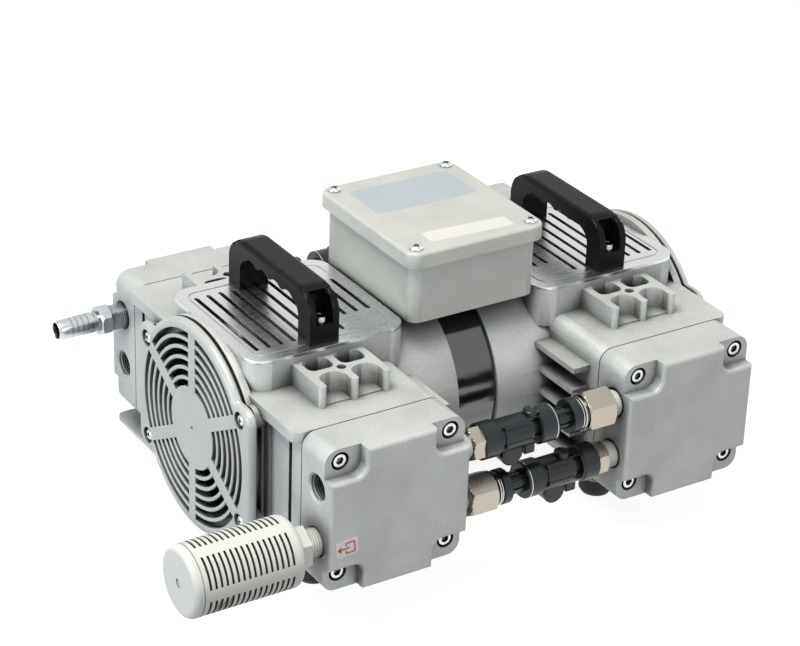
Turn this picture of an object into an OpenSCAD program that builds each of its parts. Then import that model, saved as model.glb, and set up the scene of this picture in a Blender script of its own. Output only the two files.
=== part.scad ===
// Twin oil-free piston vacuum pump. One motor with a shaft out of both ends drives
// two opposed pairs of cylinders. X runs along the shaft, the front is -Y, Z is up.
// Sizes are in millimetres and the shaft axis is the drawing axis of every module.

/* [Layout] */
// Distance from the middle of the motor to the middle of each cylinder pair
unit_x = 120.5; // [118:0.5:126]
// Distance from the shaft axis to the joint between cylinder and head
seam_y = 121; // [119:0.5:126]
// Height of the shaft axis above the floor
axis_h = 85.5; // [84:0.5:100]
// Distance from the shaft axis to the upper and the lower row of ports
port_z = 20.5; // [18:0.5:22]

/* [Crankcases] */
// Width of a cylinder block and its head, along the shaft
block_w = 108.6; // [106:0.2:112]
// Height of the crankcase roof above the shaft axis
roof_z = 52; // [50:0.5:54]
// Depth of the block's underside below the shaft axis
base_z = 56; // [54:0.5:60]
// Corner radius of the blocks and heads
block_r = 10; // [6:0.5:12]
// How far the roof stands out past the block on the fan side
wing_w = 5.5; // [3:0.5:7]
// Thickness of the roof's wing
wing_t = 8; // [5:0.5:10]
// Width of the cooling slot in the block's outer wall
vent_w = 4; // [3:0.5:5]
// Thickness of the wall between the cooling slot and the head
vent_wall = 12; // [10:0.5:13]
// Number of cooling fins on the motor side of a cylinder
fin_n = 5; // [3:1:5]
// Distance between cooling fins
fin_pitch = 17; // [15:0.5:18]
// Thickness of a cooling fin
fin_t = 4; // [3:0.5:5]
// How far the fins stand out towards the motor
fin_w = 14; // [8:0.5:16]
// Outer radius of the motor bell
bell_r = 71; // [70:0.5:72]
// Half of the gap between the two motor bells
bell_gap = 16.5; // [15:0.5:18]
// Radius of the crank chamber
chamber_r = 40; // [38:0.5:42]

/* [Duct and plate] */
// Clear distance between the terminal box and a slotted plate
plate_gap = 3; // [2:0.5:5]
// Width of the slotted plate across the shaft
plate_d = 123; // [118:0.5:126]
// Height of the plate's upper face above the shaft axis
plate_z = 75; // [73:0.5:77]
// Thickness of the plate
plate_t = 2.5; // [1.5:0.5:3]
// Corner radius of the plate
plate_r = 15; // [10:1:18]
// Thickness of the duct wall under the plate
duct_t = 6; // [4:0.5:7]
// Distance between the plate's slots
slot_pitch = 9.6; // [9:0.1:9.8]
// Width of the plate's slots
slot_w = 3.2; // [2.4:0.2:4]
// Length of the long slots
slot_long = 90; // [80:1:94]
// Length of the short slots near the motor
slot_short = 53; // [40:1:60]

/* [Lifting eye ribs] */
// Height of the rib tops above the shaft axis
rib_z = 68; // [62:0.5:70]
// Thickness of the ribs
rib_t = 5.5; // [4:0.5:7]
// Distance between neighbouring ribs along the shaft
rib_pitch = 25; // [22:0.5:27]
// Distance from the shaft axis to the cross rib
rib_cross_y = 80; // [76:0.5:84]
// How far the ribs run on towards the head past the cross rib
rib_run = 20; // [16:0.5:22]

/* [Heads] */
// Depth of a head from its joint to the screw seats
head_d = 30; // [28:0.5:32]
// Height of the raised panel above the screw seats
panel_h = 9; // [6:0.5:10]
// Half of the spacing of the head screws
head_screw = 42.6; // [41:0.2:44]
// Width of the corner steps in the raised panel
step_w = 27; // [25:0.5:30]
// Height of the corner steps in the raised panel
step_h = 20.5; // [19:0.5:22]
// Radius of a port's tapped wall
port_r = 9.6; // [8.6:0.1:10]
// Depth of a port below the joint face
port_in = 20.5; // [18:0.5:21]
// Wall between the head's side and its air chambers
head_wall = 14; // [12:0.5:16]
// Thickness of the valve plate
valve_t = 4; // [3:0.5:5]
// Least distance from the valve plate's recess to the axis of a head screw
valve_rim = 3.8; // [3.5:0.1:6]

/* [Crank and pistons] */
// Radius of the cylinder bore
bore_r = 31; // [30:0.5:32]
// Wall of the cylinder liner
liner_t = 2.5; // [2:0.25:3]
// Crank radius, which is half of the stroke
throw = 4; // [3:0.25:4.5]
// Radius of the eccentric
pin_r = 13; // [12:0.5:14]
// Width of a rod's big end
rod_w = 11; // [9:0.5:12]
// Radius of the shaft
shaft_r = 8.5; // [8:0.25:9]
// Running clearance of rods and bearings, in radius
run_gap = 0.05; // [0.03:0.01:0.08]
// Outer radius of the ball bearings
bearing_r = 20; // [18:0.5:21]
// Width of the ball bearings
bearing_w = 12; // [10:1:13]

/* [Motor] */
// Radius of the black band between the bells
band_r = 68.5; // [67:0.5:69]
// Radius of the rotor core
rotor_r = 34; // [30:1:36]
// Air gap between rotor and stator
air_gap = 0.5; // [0.4:0.1:1]
// Half of the rotor core's length
rotor_l = 30; // [25:1:34]
// Wall of the motor bells
bell_t = 6; // [5:0.5:8]

/* [Fans and covers] */
// Distance from the middle of the motor to the face of a fan cover
cover_x = 192.4; // [191:0.2:194]
// Radius of a fan cover
cover_r = 79; // [77:0.5:80]
// Depth of a fan cover
cover_d = 6; // [5.5:0.5:8]
// Shadow gap between cover and casing
cover_gap = 2.4; // [1.4:0.2:3]
// Depth of the pockets that the cover's screws sit in
screw_pocket = 3.4; // [2:0.2:3.6]
// Thickness of the cover's grille
grille_t = 3.5; // [3:0.5:5]
// Half of the width over the cover's side ears
ear_y = 82; // [80:0.5:84]
// Distance from the shaft axis to a cover screw, across
cover_screw_y = 68; // [66:0.5:70]
// Distance from the shaft axis to a cover screw, up or down
cover_screw_z = 39.6; // [38:0.2:41]
// Radius of an ear round its screw
ear_r = 10; // [9:0.5:11]
// Radius of the posts behind the ears
post_r = 8.5; // [7:0.5:9]
// Radius of the solid hub in the grille
hub_r = 30; // [28:0.5:31]
// Distance between the rings of the grille
ring_pitch = 7.4; // [7.2:0.1:7.5]
// Width of the slots in the grille
ring_slot = 4.7; // [4:0.1:5]
// Number of slot rings in the grille
ring_n = 6; // [4:1:6]
// Width of the grille's spokes
spoke_w = 9.5; // [7:0.5:11]
// Number of fan blades
blade_n = 11; // [7:1:13]
// Radius of the fan
fan_r = 64; // [58:1:65]

/* [Handles] */
// Length of a handle over its feet
handle_l = 114; // [110:1:118]
// Height of a handle above the plate
handle_h = 38.5; // [36:0.5:42]
// Width of a handle
handle_w = 23; // [21:0.5:25]
// Length of a foot of the handle
foot_l = 16; // [14:0.5:18]
// Thickness of the grip
grip_t = 12; // [10:0.5:14]
// Number of finger hollows under the grip
finger_n = 4; // [3:1:5]

/* [Terminal box] */
// Length of the box along the shaft
box_w = 104; // [102:1:106]
// Width of the box across the shaft
box_d = 118; // [116:1:120]
// Height of the box's underside above the shaft axis
box_z = 73; // [72:0.5:75]
// Height of the box's top edge above the shaft axis
box_top = 121; // [116:0.5:124]
// Wall of the box
box_t = 4; // [3:0.5:5]
// Thickness of the lid above the box's edge
lid_t = 7.5; // [5:0.5:9]
// How far the lid's rim hangs down over the box
lid_rim = 4; // [2:0.5:6]
// How far the lid stands out past the box
lid_lap = 4.5; // [3:0.5:6]
// Distance of a lid screw from the end of the box, along the shaft
lid_screw_end = 4.5; // [4.2:0.1:5.5]
// Distance of a lid screw from the side of the box
lid_screw_side = 4.2; // [4:0.1:5.5]
// Radius of the hole through the cable gland
gland_r = 5.5; // [4:0.5:7]

/* [Feet] */
// Distance of each foot from its cylinder pair's middle, along the shaft
foot_x = 25; // [22:0.5:28]
// Distance of each foot from the shaft axis, across
foot_y = 90; // [86:0.5:96]
// Radius of a rubber foot
foot_r = 12.5; // [11:0.5:13]
// Height of a rubber foot
foot_h = 13; // [11:0.5:18]
// Thickness of the foot flange at the rear
flange_t = 3; // [2:0.5:5]
// Width of the foot flange along the shaft
flange_w = 44; // [40:1:50]
// Distance from the shaft axis to the rear edge of the foot flange
flange_y = 156; // [140:1:160]

/* [Pipework] */
// Width across the flats of the small hexagon
hex_small = 22; // [20:0.5:24]
// Width across the flats of the big hexagon
hex_big = 27; // [24:0.5:28]
// Radius of a coupling's body
coupler_r = 13; // [12:0.5:13.5]
// Length of a silencer's body
silencer_l = 82; // [70:1:90]
// Distance from the head to the silencer's body
silencer_gap = 20; // [18:0.5:24]
// Radius of the silencer
silencer_r = 25; // [24:0.5:28]
// Number of slots along the silencer
silencer_n = 16; // [12:1:17]
// Radius of the hose tail
tail_r = 8; // [7:0.25:9]
// Distance from the head to the far face of the hose tail's hexagon
tail_hex = 21; // [19:0.5:24]
// Length of the hose tail past its hexagon
tail_l = 32.5; // [28:0.5:40]

/* [Hidden] */
$fn = 64;
// Small overlap that joins solids of one piece
eps = 0.2;
// Flat pieces and screws lie this far from the wall of their hole
fit = 0.1;
half_w = block_w / 2;
head_y = seam_y + head_d;
panel_y = head_y + panel_h;
port_y = seam_y + port_in;
valve_s = 2 * (head_screw - valve_rim);
cover_back = cover_x - cover_d;
flange_x = cover_back - cover_gap;
grille_back = cover_x - grille_t;
plate_x1 = cover_x - 13.9;
plate_x0 = box_w / 2 + plate_gap;
plate_w = plate_x1 - plate_x0;
plate_mid = (plate_x0 + plate_x1) / 2;
wall_in = unit_x - half_w;
wall_out = unit_x + half_w;
chamber_out = wall_out - 26;
chamber_in = wall_in + 20;
fan_back = chamber_out + bearing_w + 2;
foot_top = axis_h - foot_h;
handle_top = plate_z + handle_h;
screw_foot_y = handle_l / 2 - foot_l * 0.42;
model_x = wall_out + max(tail_hex + tail_l, silencer_gap + silencer_l);
ear_back = wall_out + 2;
span = 2 * wall_in;
lid_screw_x = box_w / 2 - lid_screw_end;
lid_screw_y = box_d / 2 - lid_screw_side;
// The drawing is moved so that its box stands centred on the origin
shift_x = (model_x - cover_x) / 2;
shift_y = (max(panel_y, port_y + silencer_r) - panel_y) / 2;

// Rectangle with round corners, centred
module rrect(w, h, r) {
  square([w - 2 * r, h], center = true);
  square([w, h - 2 * r], center = true);
  for (x = [-1, 1]) for (y = [-1, 1]) translate([x * (w / 2 - r), y * (h / 2 - r)]) circle(r);
}

// Cylinder along X from x0 to x1
module xcyl(x0, x1, r) {
  translate([x0, 0, 0]) rotate([0, 90, 0]) cylinder(h = x1 - x0, r = r);
}

// Cylinder along -Y from y0 outwards to y1, both counted as distances
module ycyl(y0, y1, r) {
  translate([0, -y0, 0]) rotate([90, 0, 0]) cylinder(h = y1 - y0, r = r);
}

// Hexagonal bar along X with a given width across its flats
module xhex(x0, x1, flats) {
  translate([x0, 0, 0]) rotate([0, 90, 0]) cylinder(h = x1 - x0, r = flats / sqrt(3), $fn = 6);
}

// Moves a drawing of the whole pump to the model's origin
module placed() {
  translate([shift_x, shift_y, axis_h]) children();
}

// The left unit is drawn at negative X, and the right one is it turned half round
module side(right) {
  placed() rotate([0, 0, right ? 180 : 0]) children();
}

// Puts a front piece drawn about its cylinder axis on one of the four cylinders
module station(right, back) {
  placed() translate([right ? unit_x : -unit_x, 0, 0]) rotate([0, 0, back ? 180 : 0]) children();
}

// Outline of a block or head, seen along the cylinder
module block_outline(inset) {
  translate([0, (roof_z - base_z) / 2])
    rrect(block_w - 2 * inset, roof_z + base_z - 2 * inset, block_r - inset);
}

// Outline of a fan cover and its seat, seen along the shaft
module cover_outline(inset) {
  circle(cover_r - inset);
  rrect(2 * (ear_y - inset), 2 * (cover_screw_z + ear_r - inset), ear_r);
}

// Four screw places of a fan cover, in the plane across the shaft
module cover_spots() {
  for (y = [-1, 1]) for (z = [-1, 1]) translate([0, y * cover_screw_y, z * cover_screw_z]) children();
}

// Turns a drawing in the YZ plane so that it is extruded along X from x0 to x1
module along_x(x0, x1) {
  translate([x0, 0, 0]) rotate([90, 0, 90]) linear_extrude(x1 - x0) children();
}

// Turns a drawing in the XZ plane so that it is extruded along Y from y0 to y1
module along_y(y0, y1) {
  translate([0, y1, 0]) rotate([90, 0, 0]) linear_extrude(y1 - y0) children();
}

module fins() {
  fin_y0 = bell_r * 0.9;
  fin_y1 = seam_y - 10;
  for (s = [-1, 1]) for (i = [0 : fin_n - 1])
    translate([-wall_in - 2, s > 0 ? fin_y0 : -fin_y1, (i - (fin_n - 1) / 2) * fin_pitch - fin_t / 2])
      cube([fin_w + 2, fin_y1 - fin_y0, fin_t]);
}

// Four celled boss on the roof. The two cells at the front are open towards the head.
module rib_boss() {
  boss_y0 = plate_d / 2 - duct_t / 2;
  boss_y1 = rib_cross_y + rib_run;
  cell_w = rib_pitch - rib_t;
  cell_l = rib_cross_y - rib_t / 2 - plate_d / 2;
  nose = rib_t / 2;
  for (x = [-1 : 1]) translate([x * rib_pitch, nose - boss_y1, roof_z - eps])
    cylinder(h = rib_z - roof_z + eps, r = nose);
  difference() {
    translate([-rib_pitch - nose, nose - boss_y1, roof_z - eps])
      cube([2 * rib_pitch + rib_t, boss_y1 - nose - boss_y0, rib_z - roof_z + eps]);
    for (x = [-1, 1]) translate([x * rib_pitch / 2, 0, roof_z + 1]) {
      translate([0, -plate_d / 2 - cell_l / 2, 0]) linear_extrude(rib_z) rrect(cell_w, cell_l, 5);
      translate([0, -boss_y1 - 20, 0]) linear_extrude(rib_z)
        rrect(cell_w, 2 * (20 + rib_run - rib_t / 2), 8);
    }
  }
  translate([0, -rib_cross_y, roof_z - eps]) cylinder(h = rib_z - roof_z + eps, r = rib_t);
}

// Seat of a fan cover: an arc above and one below, and a post behind each ear
module cover_seat() {
  difference() {
    circle(cover_r);
    square([2 * cover_r + 2, 2 * cover_screw_z], center = true);
  }
  circle(cover_r - 7);
  cover_posts();
}

module cover_posts() {
  for (y = [-1, 1]) for (z = [-1, 1])
    translate([y * cover_screw_y, z * cover_screw_z]) circle(post_r);
}

// Crankcase of one side. The foot flange lies at the side that rear points to.
module crankcase(rear) {
  difference() {
    union() {
      translate([-unit_x, 0, 0]) along_y(-seam_y, seam_y) block_outline(0);
      translate([-wall_out - wing_w + 30, 0, roof_z - wing_t]) linear_extrude(wing_t)
        rrect(60, 2 * seam_y, 7);
      along_x(-flange_x, -plate_x1) cover_seat();
      along_x(-plate_x1 - eps, -fan_back + 6) cover_outline(7);
      along_x(-plate_x1 - eps, -wall_out) cover_posts();
      along_x(-ear_back, -wall_out + 4) rrect(2 * ear_y, 2 * (cover_screw_z + ear_r), ear_r);
      translate([-plate_mid, 0, roof_z - 8]) linear_extrude(plate_z - plate_t - roof_z + 8)
        rrect(plate_w, plate_d, plate_r);
      xcyl(-wall_in - 4, -bell_gap, bell_r);
      fins();
      for (s = [0, 180]) translate([-unit_x, 0, 0]) rotate([0, 0, s]) rib_boss();
      for (x = [-1, 1]) for (y = [-1, 1])
        translate([-unit_x + x * foot_x, y * foot_y, -foot_top])
          cylinder(h = foot_top - base_z + 8, r = foot_r);
      flange_l = flange_y - foot_y + foot_r;
      translate([-wall_out + flange_w / 2, rear * (flange_y - flange_l / 2), -foot_top])
        linear_extrude(flange_t) rrect(flange_w, flange_l, 7);
    }
    // Fan chamber, crank chamber and the motor's inside
    xcyl(-cover_x, -fan_back, fan_r + 3);
    xcyl(-chamber_out, -chamber_in, chamber_r);
    xcyl(-chamber_in + bearing_w + 4, 0, bell_r - bell_t);
    // Seats of the two ball bearings and the way of the shaft
    xcyl(-chamber_out - bearing_w, -chamber_out + 1, bearing_r);
    xcyl(-chamber_in - 1, -chamber_in + bearing_w, bearing_r);
    xcyl(-cover_x, 0, bearing_r - 5);
    // Air duct under the slotted plate, open to the fan chamber
    difference() {
      translate([-plate_mid, 0, roof_z + 4]) linear_extrude(plate_z)
        rrect(plate_w - 2 * duct_t, plate_d - 2 * duct_t, plate_r - duct_t);
      for (y = [-1, 1]) translate([-unit_x - 8, y > 0 ? screw_foot_y - 7 : -screw_foot_y - 13, 0])
        cube([16, 20, plate_z]);
    }
    for (y = [-1, 1]) translate([-unit_x, y * screw_foot_y, plate_z - 22]) cylinder(h = 30, r = 3);
    // Cylinders and what the head screws go into
    for (s = [0, 180]) translate([-unit_x, 0, 0]) rotate([0, 0, s]) {
      ycyl(0, seam_y + 1, bore_r);
      ycyl(chamber_r + 12, seam_y + 1, bore_r + liner_t);
      head_screw_spots() ycyl(seam_y - 9, seam_y + 1, 3);
      translate([0, -rib_cross_y, rib_z - 12]) cylinder(h = 20, r = 3.4);
    }
    // Cooling slots in the outer wall
    for (y = [-1, 1])
      translate([-wall_out - 1, y > 0 ? seam_y - vent_wall - vent_w : -seam_y + vent_wall, -base_z + 10])
        cube([19, vent_w, roof_z + base_z - wing_t - 10]);
    cover_spots() xcyl(-cover_x, -flange_x + 14, 2.5);
    for (x = [-1, 1]) for (y = [-1, 1])
      translate([-unit_x + x * foot_x, y * foot_y, -foot_top - 1]) cylinder(h = 15, r = 3);
  }
}

module motor_band() {
  color("#16181a") placed() difference() {
    xcyl(-bell_gap, bell_gap, band_r);
    xcyl(-bell_gap - 1, bell_gap + 1, bell_r - bell_t);
  }
}

module stator() {
  stator_r = bell_r - bell_t - fit;
  color("#8d8f92") placed() {
    difference() {
      xcyl(-rotor_l, rotor_l, stator_r);
      xcyl(-rotor_l - 1, rotor_l + 1, rotor_r + air_gap);
    }
    for (x = [-1, 1]) difference() {
      xcyl(x > 0 ? rotor_l - eps : -rotor_l - 16, x > 0 ? rotor_l + 16 : -rotor_l + eps, stator_r - 4);
      xcyl(-rotor_l - 20, rotor_l + 20, rotor_r + 6);
    }
  }
}

module motor_shaft() {
  color("#b9bcc0") placed() xcyl(-grille_back + 3.5, grille_back - 3.5, shaft_r);
}

module rotor_core() {
  color("#6f7377") placed() difference() {
    union() {
      xcyl(-rotor_l, rotor_l, rotor_r);
      xcyl(-rotor_l - 6, rotor_l + 6, rotor_r - 4);
    }
    xcyl(-rotor_l - 10, rotor_l + 10, shaft_r);
  }
}

module bearing_pair(right) {
  color("#c8cacc") side(right) for (x0 = [-chamber_out - bearing_w, -chamber_in]) difference() {
    xcyl(x0 + fit, x0 + bearing_w - fit, bearing_r - fit / 5);
    xcyl(x0 - 1, x0 + bearing_w + 1, shaft_r + run_gap);
  }
}
module bearings_left() bearing_pair(false);
module bearings_right() bearing_pair(true);

// Eccentric for two rods, with a counterweight at each end
module crank(right) {
  pin_l = 2 * rod_w + 2;
  color("#9a9da1") side(right) difference() {
    union() {
      translate([0, -throw, 0]) xcyl(-unit_x - pin_l / 2, -unit_x + pin_l / 2, pin_r);
      for (x = [-1, 1]) intersection() {
        xcyl(-unit_x + x * (pin_l / 2 + 5) - 5, -unit_x + x * (pin_l / 2 + 5) + 5, chamber_r - 8);
        union() {
          translate([-unit_x - 40, 2, -40]) cube([80, 60, 80]);
          xcyl(-unit_x - 40, -unit_x + 40, pin_r + 3);
        }
      }
    }
    xcyl(-unit_x - 40, -unit_x + 40, shaft_r);
  }
}
module crank_left() crank(false);
module crank_right() crank(true);

// Rod and piston head in one piece, drawn for a front cylinder.
// at_top tells if the eccentric points to this cylinder, and lane is the rod's side.
module rod(at_top, lane) {
  reach = seam_y - 1.5 - throw;
  base = at_top ? throw : -throw;
  piston_r = bore_r - throw - 1;
  lane_x = lane * (rod_w / 2 + 0.5);
  difference() {
    union() {
      translate([0, -base, 0]) xcyl(lane_x - rod_w / 2, lane_x + rod_w / 2, pin_r + 5);
      translate([lane_x - rod_w / 2, -base - reach + 6, -8]) cube([rod_w, reach - pin_r - 8, 16]);
      ycyl(base + reach - 16, base + reach - 5, 14);
      ycyl(base + reach - 8, base + reach - 3, piston_r - 1);
      ycyl(base + reach - 4, base + reach, 9);
    }
    translate([0, -base, 0]) xcyl(-rod_w * 2, rod_w * 2, pin_r + run_gap);
    for (x = [-1, 1]) translate([lane_x + x * (rod_w / 2 + 1), -base - reach / 2 - 2, 0])
      cube([8, reach - pin_r - 30, 9], center = true);
  }
}
module rod_left_front() color("#aeb2b5") station(false, false) rod(true, -1);
module rod_left_back() color("#aeb2b5") station(false, true) rod(false, -1);
module rod_right_front() color("#aeb2b5") station(true, false) rod(false, -1);
module rod_right_back() color("#aeb2b5") station(true, true) rod(true, -1);

// Cup seal that lies on the piston head round its clamp disc
module cup(at_top) {
  top = (at_top ? throw : -throw) + seam_y - 1.5 - throw;
  piston_r = bore_r - throw - 1;
  difference() {
    ycyl(top - 3 + fit / 2, top - 0.5, piston_r);
    ycyl(top - 1.5, top + 1, piston_r - 2);
    ycyl(top - 9, top + 1, 9 + fit / 2);
  }
}
module cup_left_front() color("#3b3a37") station(false, false) cup(true);
module cup_left_back() color("#3b3a37") station(false, true) cup(false);
module cup_right_front() color("#3b3a37") station(true, false) cup(false);
module cup_right_back() color("#3b3a37") station(true, true) cup(true);

module liner() {
  difference() {
    ycyl(chamber_r + 12 + fit, seam_y, bore_r + liner_t - fit / 2);
    ycyl(chamber_r, seam_y + 1, bore_r);
  }
}
module liner_left_front() color("#8e9296") station(false, false) liner();
module liner_left_back() color("#8e9296") station(false, true) liner();
module liner_right_front() color("#8e9296") station(true, false) liner();
module liner_right_back() color("#8e9296") station(true, true) liner();

// Valve plate with one row of holes into each chamber of the head
module valve_plate() {
  difference() {
    along_y(-seam_y - valve_t, -seam_y) rrect(valve_s - 2 * fit, valve_s - 2 * fit, 6);
    for (z = [-1, 1]) for (x = [-1 : 1]) translate([x * 8, 0, z * 14])
      ycyl(seam_y - 1, seam_y + valve_t + 1, 2.5);
  }
}
module valve_left_front() color("#a5a8ab") station(false, false) valve_plate();
module valve_left_back() color("#a5a8ab") station(false, true) valve_plate();
module valve_right_front() color("#a5a8ab") station(true, false) valve_plate();
module valve_right_back() color("#a5a8ab") station(true, true) valve_plate();

// Outline of the raised panel, with a step at each corner for a screw
module panel_outline(inset) {
  mid_z = (roof_z - base_z) / 2;
  difference() {
    translate([0, mid_z]) rrect(block_w - 2 * inset, roof_z + base_z - 2 * inset, 4);
    for (x = [-1, 1]) for (z = [-1, 1])
      translate([x * half_w, mid_z + z * (roof_z + base_z) / 2])
        rrect(2 * (step_w + inset), 2 * (step_h + inset), 8 + inset);
  }
}

module head_screw_spots() {
  for (x = [-1, 1]) for (z = [-1, 1])
    translate([x * head_screw, 0, z * head_screw]) children();
}

module head() {
  pocket_w = block_w - 2 * head_wall - 6;
  difference() {
    union() {
      // A shallow groove marks the joint to the cylinder
      along_y(-head_y, -seam_y - 0.9) block_outline(0);
      along_y(-seam_y - 0.9 - eps, -seam_y) block_outline(0.7);
      along_y(-panel_y, -head_y + eps) panel_outline(0);
    }
    // Recess for the valve plate, and an air chamber above and below the middle wall
    along_y(-seam_y - valve_t, -seam_y + 1) rrect(valve_s, valve_s, 6);
    for (z = [-1, 1]) translate([0, 0, z * (pocket_w / 4 + 3)])
      along_y(-head_y + 4, -seam_y) rrect(pocket_w, pocket_w / 2 - 6, 6);
    head_screw_spots() {
      ycyl(seam_y - 1, panel_y + 1, 3.3);
      ycyl(head_y - 6.5, panel_y + 1, 6.7);
    }
    // Four ports, with a chamfer at each mouth
    for (x = [0, 180]) for (z = [-1, 1]) translate([0, -port_y, z * port_z]) rotate([0, x, 0]) {
      xcyl(half_w - head_wall - 3 - eps, half_w + 1, port_r);
      translate([half_w - 1.4, 0, 0]) rotate([0, 90, 0])
        cylinder(h = 1.5, r1 = port_r, r2 = port_r + 1.6);
    }
  }
}
module head_left_front() color("#c4c8c9") station(false, false) head();
module head_left_back() color("#c4c8c9") station(false, true) head();
module head_right_front() color("#c4c8c9") station(true, false) head();
module head_right_back() color("#c4c8c9") station(true, true) head();

module cap_screw(head_r, head_h, shank_r, shank_l, key) {
  difference() {
    union() {
      cylinder(h = head_h, r = head_r);
      translate([0, 0, -shank_l]) cylinder(h = shank_l + eps, r = shank_r);
    }
    translate([0, 0, head_h - 2.6]) cylinder(h = 3, r = key / sqrt(3), $fn = 6);
  }
}

module head_screws(right) {
  shank = head_d - 6.5 + 8;
  color("#d6d8da") for (back = [false, true]) station(right, back) head_screw_spots()
    translate([0, -head_y + 6.5, 0]) rotate([90, 0, 0]) cap_screw(5, 6.2, 3 - fit / 2, shank, 5);
}
module head_screws_left() head_screws(false);
module head_screws_right() head_screws(true);

module fan(right) {
  fan_x0 = -grille_back + 4.5;
  fan_x1 = -fan_back - 3;
  color("#202224") side(right) {
    difference() {
      union() {
        xcyl(fan_x0, fan_x1, 17);
        xcyl(fan_x1 - 2, fan_x1, fan_r);
        for (i = [0 : blade_n - 1]) rotate([i * 360 / blade_n, 0, 0])
          translate([fan_x0, -1, 15]) cube([fan_x1 - fan_x0, 2, fan_r - 16]);
      }
      xcyl(fan_x0 - 1, fan_x1 + 1, shaft_r);
    }
  }
}
module fan_left() fan(false);
module fan_right() fan(true);

// Cover with a round grille: rings of slots between six spokes
module fan_cover(right) {
  color("#c3c7c8") side(right) difference() {
    union() {
      along_x(-cover_x, -cover_back) cover_outline(0);
      along_x(-cover_back - eps, -flange_x) cover_outline(3);
    }
    xcyl(-cover_x + grille_t, -flange_x + 1, cover_r - 6);
    for (y = [-1, 1]) translate([-cover_x + grille_t, y > 0 ? cover_r - 10 : -ear_y + 6, 0])
      translate([0, 0, -cover_screw_z + ear_r + 2])
        cube([cover_d + 4, ear_y - cover_r + 4, 2 * (cover_screw_z - ear_r - 2)]);
    difference() {
      for (i = [0 : ring_n - 1]) difference() {
        xcyl(-cover_x - 1, -cover_x + grille_t + 1, hub_r + 0.4 + i * ring_pitch + ring_slot);
        xcyl(-cover_x - 2, -cover_x + grille_t + 2, hub_r + 0.4 + i * ring_pitch);
      }
      for (a = [30, 90, 150]) rotate([a, 0, 0])
        translate([-cover_x - 3, -cover_r, -spoke_w / 2]) cube([grille_t + 6, 2 * cover_r, spoke_w]);
    }
    xcyl(-cover_x - 1, -cover_x + grille_t + 1, 1.3);
    cover_spots() {
      xcyl(-cover_x - 1, -flange_x + 1, 2.7);
      xcyl(-cover_x - 1, -cover_x + screw_pocket, 6.3);
    }
  }
}
module fan_cover_left() fan_cover(false);
module fan_cover_right() fan_cover(true);

// Pan head screw along X with a cross slot
module pan_screw(head_r, head_h, shank_r, shank_l) {
  difference() {
    union() {
      cylinder(h = head_h * 0.6, r = head_r);
      translate([0, 0, head_h * 0.6]) cylinder(h = head_h * 0.4, r1 = head_r, r2 = head_r * 0.72);
      translate([0, 0, -shank_l]) cylinder(h = shank_l + eps, r = shank_r);
    }
    for (a = [0, 90]) rotate([0, 0, a]) translate([-head_r * 0.5, -0.5, head_h - 1.4]) cube([head_r, 1, 2]);
  }
}

module cover_screws() {
  color("#dfe1e2") for (right = [false, true]) side(right) cover_spots()
    translate([-cover_x + screw_pocket, 0, 0]) rotate([0, -90, 0])
      pan_screw(4.5, 2.6, 2.4, cover_d + 8);
}

// Slot of the plate: a straight slit with round ends, along Y
module slit(x, l) {
  translate([x, 0]) {
    square([slot_w, l - slot_w], center = true);
    for (s = [-1, 1]) translate([0, s * (l - slot_w) / 2]) circle(slot_w / 2, $fn = 24);
  }
}

module duct_plate(right) {
  long_n = 8;
  first = plate_x1 - 13.2;
  color("#dde0e2") side(right) translate([0, 0, plate_z - plate_t]) difference() {
    linear_extrude(plate_t) difference() {
      translate([-plate_mid, 0]) rrect(plate_w, plate_d, plate_r);
      for (i = [0 : long_n - 1]) slit(-first + i * slot_pitch, slot_long);
      for (i = [0 : 2]) slit(-plate_x0 - 11.2 - i * slot_pitch, slot_short);
    }
    translate([0, 0, plate_t - 0.6]) linear_extrude(1) difference() {
      translate([-plate_mid, 0]) rrect(plate_w - 16, plate_d - 17, plate_r - 6);
      translate([-plate_mid, 0]) rrect(plate_w - 18.4, plate_d - 19.4, plate_r - 7.2);
    }
    for (y = [-1, 1]) translate([-unit_x, y * screw_foot_y, -1]) cylinder(h = 9, r = 3.3);
  }
}
module duct_plate_left() duct_plate(false);
module duct_plate_right() duct_plate(true);

// Side view of a handle, in the YZ plane with its feet at height 0
module handle_outline() {
  inner = handle_l / 2 - foot_l;
  bar = handle_h - grip_t;
  difference() {
    union() {
      translate([0, handle_h - 25]) rrect(handle_l, 50, 19);
      translate([0, (handle_h - 18) / 2]) square([handle_l, handle_h - 18], center = true);
    }
    translate([0, -60]) square([handle_l + 10, 120], center = true);
    translate([0, bar - 25]) rrect(2 * inner, 50, 11);
    for (i = [0 : finger_n - 1])
      translate([(i - (finger_n - 1) / 2) * 17, bar - 8]) circle(10.5);
  }
}

module handle(right) {
  color("#2b3034") side(right) translate([-unit_x, 0, plate_z]) difference() {
    along_x(-handle_w / 2, handle_w / 2) handle_outline();
    for (y = [-1, 1]) {
      translate([-6.5, y > 0 ? screw_foot_y - 6 : -screw_foot_y - 20, 14]) cube([13, 26, handle_h - 17]);
      translate([0, y * screw_foot_y, -1]) cylinder(h = 20, r = 3.3);
    }
  }
}
module handle_left() handle(false);
module handle_right() handle(true);

module handle_screws() {
  color("#c9cccf") for (right = [false, true]) side(right) for (y = [-1, 1])
    translate([-unit_x, y * screw_foot_y, plate_z + 14]) cap_screw(5, 6, 3 - fit / 2, 30, 5);
}

module lid_screw_spots() {
  for (x = [-1, 1]) for (y = [-1, 1]) translate([x * lid_screw_x, y * lid_screw_y, 0]) children();
}

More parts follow.
